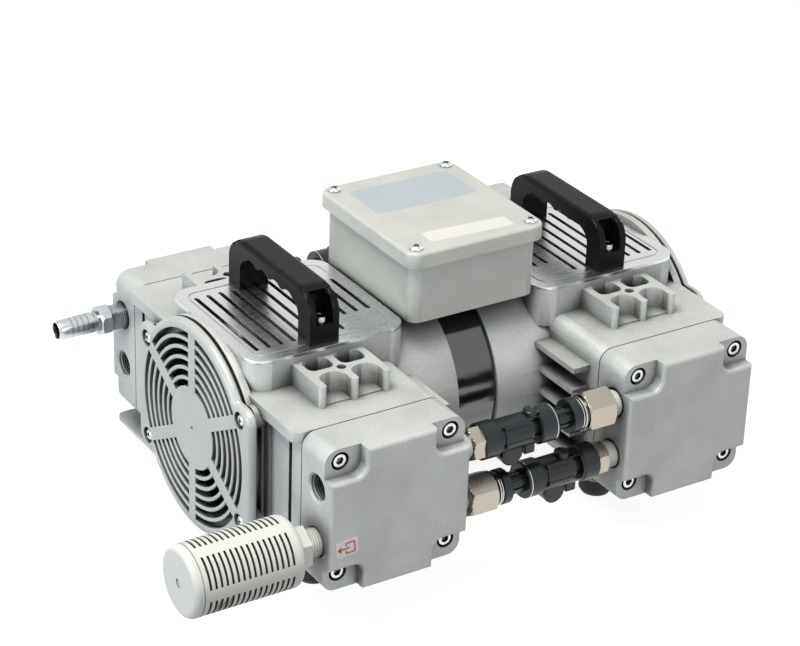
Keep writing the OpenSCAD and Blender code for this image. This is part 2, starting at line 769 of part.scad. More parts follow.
module terminal_box() {
  color("#c2c7c9") placed() difference() {
    union() {
      translate([0, 0, box_z]) linear_extrude(box_top - box_z) rrect(box_w, box_d, 8);
      translate([-24, -22, bell_r - 12]) cube([48, 44, box_z - bell_r + 12 + eps]);
    }
    difference() {
      translate([0, 0, box_z + box_t]) linear_extrude(box_top)
        rrect(box_w - 2 * box_t, box_d - 2 * box_t, 5);
      lid_screw_spots() translate([0, 0, box_z]) cylinder(h = 60, r = 6.5);
    }
    lid_screw_spots() translate([0, 0, box_top - 14]) cylinder(h = 20, r = 2.5);
    xcyl(-bell_gap, bell_gap, band_r + fit / 2);
    xcyl(-bell_gap - 60, -bell_gap + eps, bell_r + fit / 2);
    xcyl(bell_gap - eps, bell_gap + 60, bell_r + fit / 2);
    translate([0, 0, 50]) cylinder(h = 40, r = 9);
    translate([0, 28, 99]) xcyl(box_w / 2 - 8, box_w / 2 + 8, 10);
  }
}

module box_lid() {
  lid_w = box_w + 2 * lid_lap;
  lid_d = box_d + 2 * lid_lap;
  color("#cdd0cf") placed() difference() {
    union() {
      translate([0, 0, box_top - lid_rim]) linear_extrude(lid_rim + lid_t) rrect(lid_w, lid_d, 10);
    }
    translate([0, 0, box_top - lid_rim - 1]) linear_extrude(lid_rim + 1)
      rrect(box_w + 2 * fit, box_d + 2 * fit, 8);
    lid_screw_spots() translate([0, 0, box_top - 9]) cylinder(h = 30, r = 2.7);
  }
}

module lid_screws() {
  color("#d9dbdc") placed() lid_screw_spots()
    translate([0, 0, box_top + lid_t]) pan_screw(4.8, 2.9, 2.4, lid_t + 12);
}

module terminal_block() {
  color("#1c1d1f") placed() translate([18 - box_w / 2, -12, box_z + box_t]) difference() {
    cube([50, 24, 18]);
    for (i = [0 : 4]) translate([2 + i * 9.6, -1, 8]) cube([7.6, 26, 20]);
  }
}

module cable_gland() {
  color("#c9cccb") placed() translate([0, 28, 99]) difference() {
    union() {
      xcyl(box_w / 2 - 7, box_w / 2 + eps, 10 - fit / 2);
      xhex(box_w / 2, box_w / 2 + 8, 22);
      xcyl(box_w / 2 + 8 - eps, box_w / 2 + 20, 11);
      translate([box_w / 2 + 20 - eps, 0, 0]) rotate([0, 90, 0]) cylinder(h = 6, r1 = 11, r2 = 8);
    }
    xcyl(box_w / 2 - 10, box_w / 2 + 30, gland_r);
  }
}

module feet(right) {
  color("#17181a") side(right) for (x = [-1, 1]) for (y = [-1, 1])
    translate([-unit_x + x * foot_x, y * foot_y, -axis_h]) {
      cylinder(h = 3 + eps, r1 = foot_r - 2, r2 = foot_r);
      translate([0, 0, 3]) cylinder(h = foot_h - 3, r = foot_r);
      translate([0, 0, foot_h - eps]) cylinder(h = 12, r = 3 - fit / 2);
    }
}
module feet_left() feet(false);
module feet_right() feet(true);

// Coupling between two heads, drawn from its small hexagon at 0 to its big one.
// The span is the clear distance between the heads.
module coupler_body(boss_x, tab_x) {
  difference() {
    union() {
      xcyl(17, 30, coupler_r);
      xcyl(30 - eps, 60, coupler_r - 1.5);
      xcyl(60 - eps, 79.5, coupler_r + 0.3);
      xcyl(79.5 - eps, 93, 8.6);
      xcyl(92, 99.5, 12);
      translate([boss_x, 6, -11]) rotate([90, 0, 0]) cylinder(h = 12, r = 8.5);
      translate([tab_x, -4, -coupler_r - 5]) cube([9, 8, 8]);
    }
    // Latch window on two opposite sides, and grooves round the plug
    for (a = [0, 180]) rotate([a, 0, 0]) translate([32, -coupler_r - 4, -6.5]) cube([25, 7.6, 13]);
    for (a = [0, 180]) rotate([a, 0, 0]) translate([55, -coupler_r - 4, -8]) cube([4.5, 9.5, 16]);
    translate([64, 0, coupler_r - 2]) cylinder(h = 6, r = 3.5);
    for (a = [0 : 45 : 315]) rotate([a, 0, 0]) translate([81.5, -1, 7.4]) cube([9.5, 2, 3]);
    xcyl(-1, span + 1, 5);
  }
}
module coupler_nuts() {
  difference() {
    union() {
      xcyl(-12, 1, port_r - fit / 2);
      xcyl(1 - eps, 8, 9.2);
      xhex(8, 17, hex_small);
    }
    xcyl(-14, 20, 5);
  }
  difference() {
    union() {
      xcyl(99.5, 103 + eps, 10.5);
      xhex(103, span - 7, hex_big);
      xcyl(span - 7 - eps, span - 1, 9.2);
      xcyl(span - 1 - eps, span + 12, port_r - fit / 2);
    }
    xcyl(96, span + 14, 5);
  }
}
// On the front the upper coupling has its small hexagon at the left unit, and the lower
// one is turned end for end. The pair at the back is this pair turned half round.
module coupler_at(back, lower) {
  placed() rotate([0, 0, back ? 180 : 0]) translate([0, -port_y, lower ? -port_z : port_z])
    rotate([0, 0, lower ? 180 : 0]) translate([-span / 2, 0, 0]) children();
}
module coupler_front_upper() color("#2e3438") coupler_at(false, false) coupler_body(46, 56.5);
module coupler_front_lower() color("#2e3438") coupler_at(false, true) coupler_body(55, 35.5);
module coupler_back_upper() color("#2e3438") coupler_at(true, false) coupler_body(46, 56.5);
module coupler_back_lower() color("#2e3438") coupler_at(true, true) coupler_body(55, 35.5);
module nuts_front_upper() color("#c9b8a6") coupler_at(false, false) coupler_nuts();
module nuts_front_lower() color("#c9b8a6") coupler_at(false, true) coupler_nuts();
module nuts_back_upper() color("#c9b8a6") coupler_at(true, false) coupler_nuts();
module nuts_back_lower() color("#c9b8a6") coupler_at(true, true) coupler_nuts();

// Silencer on the lower port of the left front head, with bands of slots
module silencer() {
  x1 = -wall_out - silencer_gap;
  x0 = x1 - silencer_l;
  slot_step = (silencer_l - 21) / (silencer_n - 1);
  color("#e8e7e0") placed() translate([0, -port_y, -port_z]) difference() {
    union() {
      rotate([0, 90, 0]) rotate_extrude() {
        translate([0, x0]) square([silencer_r - 4, silencer_l - 4]);
        translate([0, x0 + 4]) square([silencer_r, silencer_l - 9]);
        translate([silencer_r - 4, x0 + 4]) circle(4);
        translate([0, x1 - 6]) square([silencer_r - 5, 6]);
        translate([silencer_r - 5, x1 - 5]) circle(5);
      }
      xhex(x1 - eps, x1 + 10, 27);
      xcyl(x1 + 10 - eps, -wall_out + 12, port_r - fit / 2);
    }
    xcyl(x0 + 5, x1 - 7, silencer_r - 3);
    xcyl(x1 - 8, -wall_out + 14, 6);
    xcyl(x0 - 1, x0 + 0.8, 3.2);
    // Seam between the cap and the body
    difference() {
      xcyl(x0 + 6, x0 + 6.6, silencer_r + 1);
      xcyl(x0 + 5, x0 + 8, silencer_r - 0.6);
    }
    intersection() {
      for (i = [0 : silencer_n - 1]) translate([x0 + 10 + i * slot_step, 0, 0])
        xcyl(0, 1.7, silencer_r + 1);
      // Five bands, the widest of them turned to the front
      for (a = [53 : 72 : 341]) rotate([a, 0, 0]) translate([x0, -11, 14])
        cube([silencer_l, 22, 20]);
    }
  }
}

// Hose tail on the upper port of the left back head
module hose_tail() {
  x0 = -wall_out;
  tip = x0 - tail_hex - tail_l;
  color("#d4d8da") placed() translate([0, port_y, port_z]) difference() {
    union() {
      xcyl(x0 - tail_hex + 8.5, x0 + 12, port_r - fit / 2);
      xhex(x0 - tail_hex, x0 - tail_hex + 9, 24);
      xcyl(tip + tail_l * 0.8, x0 - tail_hex + eps, tail_r - 0.4);
      translate([tip, 0, 0]) rotate([0, 90, 0])
        cylinder(h = tail_l * 0.4 + eps, r1 = tail_r - 1.3, r2 = tail_r - 0.3);
      for (i = [0 : 2]) translate([tip + tail_l * (0.4 + i * 0.14), 0, 0]) rotate([0, 90, 0])
        cylinder(h = tail_l * 0.14 + eps, r1 = tail_r - 0.7, r2 = tail_r + 0.1);
    }
    xcyl(tip - 1, x0 + 14, 5.2);
  }
}

module crankcase_left() color("#bfc3c4") side(false) crankcase(1);
module crankcase_right() color("#bfc3c4") side(true) crankcase(-1);

crankcase_left();
crankcase_right();
motor_band();
stator();
motor_shaft();
rotor_core();
bearings_left();
bearings_right();
crank_left();
crank_right();
rod_left_front();
rod_left_back();
rod_right_front();
rod_right_back();
cup_left_front();
cup_left_back();
cup_right_front();
cup_right_back();
liner_left_front();
liner_left_back();
liner_right_front();
liner_right_back();
valve_left_front();
valve_left_back();
valve_right_front();
valve_right_back();
head_left_front();
head_left_back();
head_right_front();
head_right_back();
head_screws_left();
head_screws_right();
fan_left();
fan_right();
fan_cover_left();
fan_cover_right();
cover_screws();
duct_plate_left();
duct_plate_right();
handle_left();
handle_right();
handle_screws();
terminal_box();
box_lid();
lid_screws();
terminal_block();
cable_gland();
feet_left();
feet_right();
coupler_front_upper();
coupler_front_lower();
coupler_back_upper();
coupler_back_lower();
nuts_front_upper();
nuts_front_lower();
nuts_back_upper();
nuts_back_lower();
silencer();
hose_tail();
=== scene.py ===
"""Looks of the twin piston vacuum pump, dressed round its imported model."""

import logging
import math
from collections.abc import Callable, Iterable, Sequence
from dataclasses import dataclass
from enum import Enum
from itertools import product
from typing import ClassVar

import bmesh
import bpy
from bmesh.types import BMesh
from bpy.types import Material, Mesh, Modifier, Node, NodeSocket, NodeTree, Object
from mathutils import Matrix, Vector


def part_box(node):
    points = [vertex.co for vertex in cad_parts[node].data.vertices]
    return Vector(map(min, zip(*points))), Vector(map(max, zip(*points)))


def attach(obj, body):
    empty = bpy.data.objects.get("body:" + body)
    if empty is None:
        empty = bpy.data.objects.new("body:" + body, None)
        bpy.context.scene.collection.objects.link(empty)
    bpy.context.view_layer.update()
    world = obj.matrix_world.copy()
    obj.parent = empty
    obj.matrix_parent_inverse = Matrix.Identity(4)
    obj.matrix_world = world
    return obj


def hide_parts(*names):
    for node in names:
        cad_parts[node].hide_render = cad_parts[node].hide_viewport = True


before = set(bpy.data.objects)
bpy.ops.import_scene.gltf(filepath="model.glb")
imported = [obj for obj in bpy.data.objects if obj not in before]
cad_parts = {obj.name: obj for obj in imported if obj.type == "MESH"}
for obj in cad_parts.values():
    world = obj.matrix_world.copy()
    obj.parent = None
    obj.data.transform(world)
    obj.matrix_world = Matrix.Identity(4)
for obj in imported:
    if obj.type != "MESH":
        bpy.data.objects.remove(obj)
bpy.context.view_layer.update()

MM = 0.001
SHAFT_LOW, SHAFT_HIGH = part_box("motor_shaft")
CENTRE = (Vector(SHAFT_LOW) + Vector(SHAFT_HIGH)) / 2
SIDES = ("left", "right")
ENDS = ("front", "back")
LEVELS = ("upper", "lower")
SIGNS = (-1, 1)
FOUR = tuple(product(SIGNS, SIGNS))
UNMOVED = Matrix.Identity(4).freeze()
TO_METRES = Matrix.Scale(MM, 4).freeze()
log = logging.getLogger("pump")

# Places in millimetres from the middle of the shaft, as the CAD has them
UNIT_X = 120.5
INNER_WALL = 66.2
OUTER_WALL = 174.8
PANEL_Y = 160.0
PORT_Y = 141.5
PORT_Z = 20.5
LID_TOP = 128.5
HEAD_SPACING = 42.6
LID_SPOT = (47.5, 54.8)
COVER_SPOT = (68.0, 39.6)
THREAD_PITCH = 1.814
SHANK_R = 9.0

# Edges sharper than this stay crisp: on most pieces, on fine moulded and milled ones, on tape
CORNER_DEG = 35.0
GRILLE_CORNER_DEG = 28.0
FINE_CORNER_DEG = 24.0
TAPE_CORNER_DEG = 60.0

Outline = Callable[[float], float]
Ring = tuple[float, float | Outline]
Source = Node | NodeSocket


class Axis(Enum):
    """Direction that a turned piece's own axis is laid along."""

    RIGHT = (1, 0, 0)
    LEFT = (-1, 0, 0)
    BACK = (0, 1, 0)
    FRONT = (0, -1, 0)
    UP = (0, 0, 1)


class Drive(Enum):
    """Shape of the recess in a screw head."""

    HEXAGON = "hexagon"
    CROSS = "cross"


def outward(sign: int) -> Axis:
    """Direction along the shaft that leads away from the middle of the pump.

    Args:
        sign: -1 on the left side, 1 on the right side.

    Returns:
        That direction.
    """
    return Axis.LEFT if sign < 0 else Axis.RIGHT


def linear(code: str) -> tuple[float, float, float, float]:
    """Turns an sRGB hex colour into linear values.

    Args:
        code: Six hex digits after a hash sign.

    Returns:
        Red, green, blue and an alpha of 1.
    """
    values = [int(code[i:i + 2], 16) / 255 for i in (1, 3, 5)]
    turned = [v / 12.92 if v <= 0.04045 else ((v + 0.055) / 1.055) ** 2.4 for v in values]
    return (turned[0], turned[1], turned[2], 1.0)


def add_node(tree: NodeTree, kind: str, links: dict | None = None,
             values: dict | None = None, **settings: object) -> Node:
    """Adds a node with its settings, its input values and its incoming links.

    Args:
        tree: Node tree that takes the node.
        kind: The node's type name.
        links: Output sockets, or nodes for their first one, by the input's name or number.
        values: Constants by the input's name or number.
        settings: The node's own properties.

    Returns:
        The new node.
    """
    node = tree.nodes.new(kind)
    for key, value in settings.items():
        setattr(node, key, value)
    for key, value in (values or {}).items():
        node.inputs[key].default_value = value
    for key, source in (links or {}).items():
        socket = source.outputs[0] if isinstance(source, Node) else source
        tree.links.new(socket, node.inputs[key])
    return node


def pump_point(x: float, y: float, z: float) -> Vector:
    """Turns millimetres from the middle of the shaft into a point of the frame.

    Args:
        x: Distance along the shaft.
        y: Distance towards the back.
        z: Height.

    Returns:
        The point, in metres.
    """
    return CENTRE + Vector((x, y, z)) * MM


def laid(axis: Axis, origin: Vector) -> Matrix:
    """Matrix that lays a piece built along Z in millimetres on an axis of the frame.

    Args:
        axis: Direction that the piece's Z takes.
        origin: Where the piece's zero goes, in metres.

    Returns:
        The placing matrix, with the change from millimetres to metres.
    """
    turn = Vector((0, 0, 1)).rotation_difference(Vector(axis.value)).to_matrix().to_4x4()
    return Matrix.Translation(origin) @ turn @ TO_METRES


@dataclass(frozen=True)
class Finish:
    """A surface: its colour, its gloss and the relief that its making leaves.

    Attributes:
        name: Name of the material.
        slot: Name of a slot for pieces of this finish; not used.
        colour: Base colour as an sRGB hex code.
        metallic: Share of metal.
        roughness: Mean roughness.
        grain_mm: Size of the fine grain.
        relief_mm: Depth of the fine grain.
        mottle: How much grain and patches change the colour.
        patch_mm: Size of the broad patches.
        stretch: Scale of the grain along each axis.
        coat: Weight of a clear coat.
        crevice: Strength of the painted shade in narrow gaps.
        crevice_mm: How far away a surface still makes a gap for that painted shade.
        deep: Strength of the painted shade in deep hollows.
        shine: Specular level, 0.5 by default.
    """

    name: str
    slot: str
    colour: str
    metallic: float
    roughness: float
    grain_mm: float
    relief_mm: float
    mottle: float = 0.06
    patch_mm: float = 22.0
    stretch: tuple[float, float, float] = (1.0, 1.0, 1.0)
    coat: float = 0.0
    crevice: float = 0.0
    crevice_mm: float = 9.0
    deep: float = 0.0
    shine: float = 0.5

    GRAIN_DETAIL: ClassVar[float] = 2.0
    GRAIN_ROUGHNESS: ClassVar[float] = 0.6
    GRAIN_SPAN: ClassVar[tuple[float, float]] = (0.3, 0.7)
    PATCH_DETAIL: ClassVar[float] = 3.0
    TINT_SPAN: ClassVar[tuple[float, float]] = (0.65, 1.35)
    SHELTER_SAMPLES: ClassVar[int] = 4
    COAT_ROUGHNESS: ClassVar[float] = 0.06
    ROUGHNESS_SPREAD: ClassVar[float] = 0.12
    CREVICE_SPAN: ClassVar[tuple[float, float]] = (0.15, 0.85)
    HOLLOW_MM: ClassVar[float] = 45.0
    HOLLOW_SPAN: ClassVar[tuple[float, float]] = (0.1, 0.74)

    def material(self) -> Material:
        """Returns the finish's material, made once."""
        known = bpy.data.materials.get(self.name)
        return known or self.build()

    def build(self) -> Material:
        """Builds the node tree of the finish.

        Returns:
            A material with colour, roughness and relief from patterns on Object coordinates, and
            painted shade from ambient occlusion.
        """
        made = bpy.data.materials.new(self.name)
        made.use_nodes = True
        tree = made.node_tree
        shader = tree.nodes["Principled BSDF"]
        shader.inputs["Metallic"].default_value = self.metallic
        shader.inputs["Coat Weight"].default_value = self.coat
        shader.inputs["Coat Roughness"].default_value = self.COAT_ROUGHNESS
        shader.inputs["Specular IOR Level"].default_value = self.shine
        place = add_node(tree, "ShaderNodeTexCoord")
        spread = add_node(tree, "ShaderNodeMapping", {"Vector": place.outputs["Object"]},
                          {"Scale": self.stretch})
        grain = add_node(tree, "ShaderNodeTexNoise", {"Vector": spread},
                         {"Scale": 1 / (self.grain_mm * MM), "Detail": self.GRAIN_DETAIL,
                          "Roughness": self.GRAIN_ROUGHNESS})
        patches = add_node(tree, "ShaderNodeTexNoise", {"Vector": place.outputs["Object"]},
                           {"Scale": 1 / (self.patch_mm * MM), "Detail": self.PATCH_DETAIL})
        both = add_node(tree, "ShaderNodeMath", {0: grain, 1: patches}, operation="ADD")
        base = Vector(linear(self.colour)[:3])
        shade = add_node(tree, "ShaderNodeMapRange", {0: both},
                         {1: self.TINT_SPAN[0], 2: self.TINT_SPAN[1], 3: 1 - self.mottle,
                          4: 1 + self.mottle})
        colour = add_node(tree, "ShaderNodeVectorMath", {3: shade}, {0: base}, operation="SCALE")
        # Painted shade: the colour darkens in narrow gaps and in deep hollows
        if self.crevice > 0:
            colour = self.painted_shade(tree, colour, self.crevice_mm, self.CREVICE_SPAN,
                                    1 - self.crevice)
        if self.deep > 0:
            colour = self.painted_shade(tree, colour, self.HOLLOW_MM, self.HOLLOW_SPAN,
                                    1 - self.deep, True)
        spread_out = self.roughness * self.ROUGHNESS_SPREAD
        rough = add_node(tree, "ShaderNodeMapRange", {0: grain},
                         {1: self.GRAIN_SPAN[0], 2: self.GRAIN_SPAN[1],
                          3: self.roughness - spread_out,
                          4: self.roughness + spread_out})
        bump = add_node(tree, "ShaderNodeBump", {"Height": grain},
                        {"Strength": 1.0, "Distance": self.relief_mm * MM})
        for label, source in (("Base Color", colour), ("Roughness", rough), ("Normal", bump)):
            tree.links.new(source.outputs[0], shader.inputs[label])
        return made

    def painted_shade(self, tree: NodeTree, colour: Node, reach_mm: float, span: tuple[float, float],
                  least: float, soft: bool = False) -> Node:
        """Paints shade into a colour: darkens it where other surfaces stand close round it.

        Args:
            tree: Tree of the material.
            colour: The colour so far.
            reach_mm: How far away a surface still counts.
            span: Openness at which the darkening is full, and at which it ends.
            least: Share of the colour that stays where the darkening is full.
            soft: Whether the change is eased at both ends.

        Returns:
            The node that gives the darkened colour.
        """
        open_air = add_node(tree, "ShaderNodeAmbientOcclusion", None, {"Distance": reach_mm * MM},
                            samples=self.SHELTER_SAMPLES)
        share = add_node(tree, "ShaderNodeMapRange", {0: open_air.outputs["AO"]},
                         {1: span[0], 2: span[1], 3: least, 4: 1.0},
                         interpolation_type="SMOOTHSTEP" if soft else "LINEAR")
        return add_node(tree, "ShaderNodeVectorMath", {0: colour, 3: share}, operation="SCALE")


# Finishes with crevice or deep darken their colour with painted shade in gaps and hollows
# Die-cast aluminium, shot blasted: pale grey, a fine pearly speckle and soft highlights
BLASTED_CASTING = Finish("blasted_aluminium_casting", "cast_aluminium", "#C0C4C3", 0.16, 0.5,
                         1.4, 0.2, 0.16, 34.0, crevice=0.85, crevice_mm=13.0, deep=0.97)
# The same alloy with a finer blast and a clear lacquer, a little darker and smoother
LACQUERED_COVER = Finish("lacquered_aluminium_cover", "cover_grey", "#B9BDBC", 0.16, 0.42,
                         1.1, 0.07, 0.09, 28.0, crevice=0.8, crevice_mm=5.0, deep=0.9)
# Smoother lid and box castings, finely blasted
FINE_CASTING = Finish("fine_aluminium_casting", "cast_aluminium", "#C2C5C1", 0.16, 0.5,
                      1.0, 0.09, 0.11, 30.0, crevice=0.5, deep=0.9)
# Stainless sheet, polished with fine lines along the shaft
POLISHED_STAINLESS = Finish("polished_stainless_sheet", "polished_plate", "#D8DADB", 1.0, 0.28,
                            0.9, 0.00012, 0.06, 60.0, (0.06, 1.0, 1.0), crevice=0.3,
                            crevice_mm=7.0)
# Glass-filled nylon of the handles, near black with a soft moulded sheen
HANDLE_NYLON = Finish("moulded_black_nylon", "black_plastic", "#0A0E10", 0.0, 0.3,
                      0.8, 0.02, 0.10, 18.0, crevice=0.7, crevice_mm=12.0, shine=0.12)
# Acetal of the couplings, dark slate and satin from the mould
COUPLING_ACETAL = Finish("moulded_slate_acetal", "black_plastic", "#121A1E", 0.0, 0.3,
                         0.9, 0.015, 0.08, 16.0, crevice=0.85, crevice_mm=10.0, deep=0.97,
                         shine=0.45)
# Nylon fan, smoother and darker than the handles
FAN_NYLON = Finish("moulded_fan_nylon", "black_plastic", "#0E1011", 0.0, 0.5, 0.9, 0.02, 0.08,
                   deep=0.9, shine=0.2)
# Baked enamel on the stator's outside, wet and black
BLACK_ENAMEL = Finish("baked_black_enamel", "black_paint", "#07090B", 0.0, 0.16,
                      2.4, 0.006, 0.05, 20.0, coat=1.0, shine=1.0)
# Nickel-plated brass, turned and milled: warm grey with a sharp shine
NICKEL_BRASS = Finish("nickel_plated_brass", "nickel", "#AFA89D", 1.0, 0.27,
                      0.7, 0.0008, 0.03, 9.0, (0.2, 1.0, 1.0), crevice=0.35, crevice_mm=4.0)
# Zinc-plated steel, bright with a faint cloudy bloom
ZINC_STEEL = Finish("zinc_plated_steel", "zinc_steel", "#C6CBCE", 1.0, 0.22, 1.2, 0.006, 0.06, 7.0,
                    crevice=0.7, crevice_mm=6.0, deep=0.95)
# Stainless screws, bright and slightly brushed, with painted shade down in their recesses
BRIGHT_SCREW = Finish("bright_stainless_screw", "steel", "#D6D9DA", 1.0, 0.2, 0.9, 0.004, 0.04,
                      6.0, crevice=0.9, crevice_mm=3.5, deep=0.98)
# The same screws down in the handles' recesses: a darker copy whose colour carries painted shade
SHADED_RECESS_SCREW = Finish("shaded_recess_stainless_screw", "steel", "#B9BDBF", 1.0, 0.24, 0.9, 0.004,
                        0.04, 6.0, crevice=0.96, crevice_mm=16.0, deep=0.98)
# Turned steel of shaft, bearings and cranks
TURNED_STEEL = Finish("turned_steel", "steel", "#B4B7BA", 1.0, 0.28, 0.7, 0.01, 0.05, 9.0,
                      (3.0, 0.2, 0.2))
# Aluminium rods and liners with the marks of machining
MACHINED_ALUMINIUM = Finish("machined_aluminium", "machined_aluminium", "#C2C5C8", 1.0, 0.33,
                            0.8, 0.01, 0.05, 12.0, (0.3, 1.0, 1.0))
# Filled seal plastic of the piston cups, dull and dark
CUP_SEAL = Finish("filled_seal_plastic", "seal", "#45423D", 0.0, 0.55, 0.9, 0.02, 0.06)
# Stacked electrical sheet, dark with fine lines across the shaft
SHEET_STACK = Finish("stacked_electrical_sheet", "lamination", "#6B6E72", 1.0, 0.5,
                     0.6, 0.05, 0.10, 14.0, (1.0, 0.02, 0.02))
# Black moulding of the terminal block inside the box
TERMINAL_NYLON = Finish("moulded_terminal_nylon", "black_plastic", "#1A1B1C", 0.0, 0.5,
                        0.8, 0.02, 0.08)
# Ivory engineering plastic of the silencer, satin from the mould
IVORY_PLASTIC = Finish("moulded_ivory_plastic", "ivory_plastic", "#DADCD7", 0.0, 0.44,
                       1.4, 0.015, 0.02, 30.0, crevice=0.75, crevice_mm=4.5, deep=0.6)
# Dark felt behind the silencer's slots
GREY_FELT = Finish("pressed_dark_felt", "ivory_plastic", "#434744", 0.0, 0.95, 1.2, 0.3, 0.14, 6.0)
# Light grey nylon of the cable gland
GREY_NYLON = Finish("moulded_grey_nylon", "grey_plastic", "#C4C7C7", 0.0, 0.4, 0.9, 0.02, 0.03,
                    crevice=0.4)
# Natural rubber, matt with a dusty bloom
BLACK_RUBBER = Finish("black_rubber", "rubber", "#121314", 0.0, 0.7, 1.0, 0.05, 0.12, 9.0)
# Thread tape: thin white fluoropolymer film, pulled and wrinkled
THREAD_TAPE = Finish("thread_tape", "ivory_plastic", "#D6D8D7", 0.0, 0.5, 0.9, 0.2, 0.08, 4.0,
                     (2.5, 1.0, 1.0), crevice=0.75, crevice_mm=5.0)
# Film of the small plates: white on the head, paler and clear on the lid; and the red print
LABEL_FILM = Finish("white_label_film", "ivory_plastic", "#F0F0ED", 0.0, 0.35, 1.5, 0.004, 0.02)
LID_FILM = Finish("clear_label_film", "ivory_plastic", "#D9D8D2", 0.0, 0.35, 1.5, 0.004, 0.02)
RED_PRINT = Finish("red_print", "ivory_plastic", "#C23A33", 0.0, 0.4, 1.0, 0.004, 0.05)
# Blank rating plate: satin foil, a little cooler than the lid
PLATE_FOIL = Finish("satin_foil", "cast_aluminium", "#B4BEC4", 0.4, 0.34, 0.9, 0.004, 0.03, 20.0,
                    (0.1, 1.0, 1.0))


def place(mesh: Mesh, name: str, finish: Finish, body: str,
          corner_deg: float = CORNER_DEG, stands_for: Sequence[str] = ()) -> Object:
    """Makes a finished piece of a mesh that already lies in the frame.

    Args:
        mesh: The piece's mesh, in metres.
        name: The piece's name.
        finish: What it is made of.
        body: Body that it rides on.
        corner_deg: Edges sharper than this stay crisp.
        stands_for: Nodes that the piece replaces.

    Returns:
        The new object.
    """
    mesh.name = name
    mesh.shade_smooth()
    mesh.set_sharp_from_angle(angle=math.radians(corner_deg))
    piece = linked(name, mesh)
    if not mesh.materials:
        mesh.materials.append(finish.material())
    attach(piece, body)
    if stands_for:
        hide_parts(*stands_for)
    log.info("%s: %d faces on %s", name, len(mesh.polygons), body)
    return piece


def finished_mesh(shape: BMesh, matrix: Matrix = UNMOVED) -> Mesh:
    """Places a shape, turns it into a mesh and frees it.

    Args:
        shape: What was built.
        matrix: Where it goes.

    Returns:
        The mesh.
    """
    shape.transform(matrix)
    mesh = bpy.data.meshes.new("shape")
    shape.to_mesh(mesh)
    shape.free()
    return mesh


def turned(rings: Sequence[Ring], segments: int, matrix: Matrix = UNMOVED) -> Mesh:
    """Builds a closed turned shape along Z and places it.

    Args:
        rings: Height and radius of each ring, from the outside bottom on. A radius may
            be a function of the angle, for hexagons and recesses. A radius of 0 closes,
            and so does a last ring that is the first one again.
        segments: Points on each ring.
        matrix: Where it goes.

    Returns:
        The shape's mesh.
    """
    shape = bmesh.new()
    angles = [2 * math.pi * i / segments for i in range(segments)]
    loops = []
    closed = len(rings) > 2 and rings[0] == rings[-1]
    for height, radius in rings[:-1] if closed else rings:
        if radius == 0:
            loops.append([shape.verts.new((0, 0, height))])
            continue
        reach = [radius(a) if callable(radius) else radius for a in angles]
        loops.append([shape.verts.new((r * math.cos(a), r * math.sin(a), height))
                      for r, a in zip(reach, angles)])
    if closed:
        loops.append(loops[0])
    for low, high in zip(loops, loops[1:]):
        for i in range(segments):
            j = (i + 1) % segments
            corners = [low[i % len(low)], low[j % len(low)], high[j % len(high)],
                       high[i % len(high)]]
            unique = list(dict.fromkeys(corners))
            if len(unique) > 2:
                shape.faces.new(unique)
    bmesh.ops.recalc_face_normals(shape, faces=shape.faces)
    return finished_mesh(shape, matrix)


def hexagon(flats: float) -> Outline:
    """Outline of a hexagon.

    Args:
        flats: Width across its flats.

    Returns:
        The radius as a function of the angle.
    """
    step = math.pi / 3
    return lambda a: flats / 2 / math.cos((a + step / 2) % step - step / 2)


def slopes(a: float) -> tuple[float, float]:
    """Sizes of an angle's cosine and sine, kept off zero so that they can divide.

    Args:
        a: The angle.

    Returns:
        Cosine and sine, both positive.
    """
    return max(abs(math.cos(a)), 1e-6), max(abs(math.sin(a)), 1e-6)


def cross(length: float, width: float) -> Outline:
    """Outline of a cross recess.

    Args:
        length: Length of its bars.
        width: Width of its bars.

    Returns:
        The radius as a function of the angle.
    """
    def radius(a: float) -> float:
        """Larger reach of the two bars.

        Args:
            a: Direction.

        Returns:
            The radius there.
        """
        c, s = slopes(a)
        return max(min(length / 2 / c, width / 2 / s), min(length / 2 / s, width / 2 / c))
    return radius


def rounded_frame(wide: float, high: float, corner: float, least: float = 0.0) -> Outline:
    """Outline of a rectangle with round corners, or of a circle where that is larger.

    Args:
        wide: Half of its extent across the angle's zero.
        high: Half of its extent along the angle's zero.
        corner: Radius of its corners.
        least: Radius of the circle.

    Returns:
        The radius as a function of the angle.
    """
    def radius(a: float) -> float:
        """Reach of the outline.

        Args:
            a: Direction.

        Returns:
            The radius there.
        """
        c, s = slopes(a)
        if high / c * s <= wide - corner:
            reach = high / c
        elif wide / s * c <= high - corner:
            reach = wide / s
        else:
            up, out = high - corner, wide - corner
            b = c * up + s * out
            reach = b + math.sqrt(max(b * b - up * up - out * out + corner * corner, 0.0))
        return max(reach, least)
    return radius


def linked(name: str, data: bpy.types.ID) -> Object:
    """Makes an object and puts it in the scene.

    Args:
        name: Name of the object.
        data: Its mesh, lamp or camera.

    Returns:
        The new object.
    """
    made = bpy.data.objects.new(name, data)
    bpy.context.scene.collection.objects.link(made)
    return made


def evaluated(piece: Object) -> Mesh:
    """Takes the mesh that an object's modifiers give, and removes the object.

    Args:
        piece: The object.

    Returns:
        The mesh.
    """
    graph = bpy.context.evaluated_depsgraph_get()
    mesh = bpy.data.meshes.new_from_object(piece.evaluated_get(graph), depsgraph=graph)
    bpy.data.objects.remove(piece)
    return mesh


def cut(mesh: Mesh, tool: Mesh) -> Mesh:
    """Cuts one mesh out of another and removes both.

    Args:
        mesh: Closed mesh that is cut.
        tool: Closed mesh of what goes.

    Returns:
        What is left.
    """
    body, knife = linked("cut_body", mesh), linked("cut_tool", tool)
    add_modifier(body, "cut", "BOOLEAN", operation="DIFFERENCE", solver="EXACT", object=knife)
    left = evaluated(body)
    bpy.data.objects.remove(knife)
    bpy.data.meshes.remove(mesh)
    bpy.data.meshes.remove(tool)
    return left


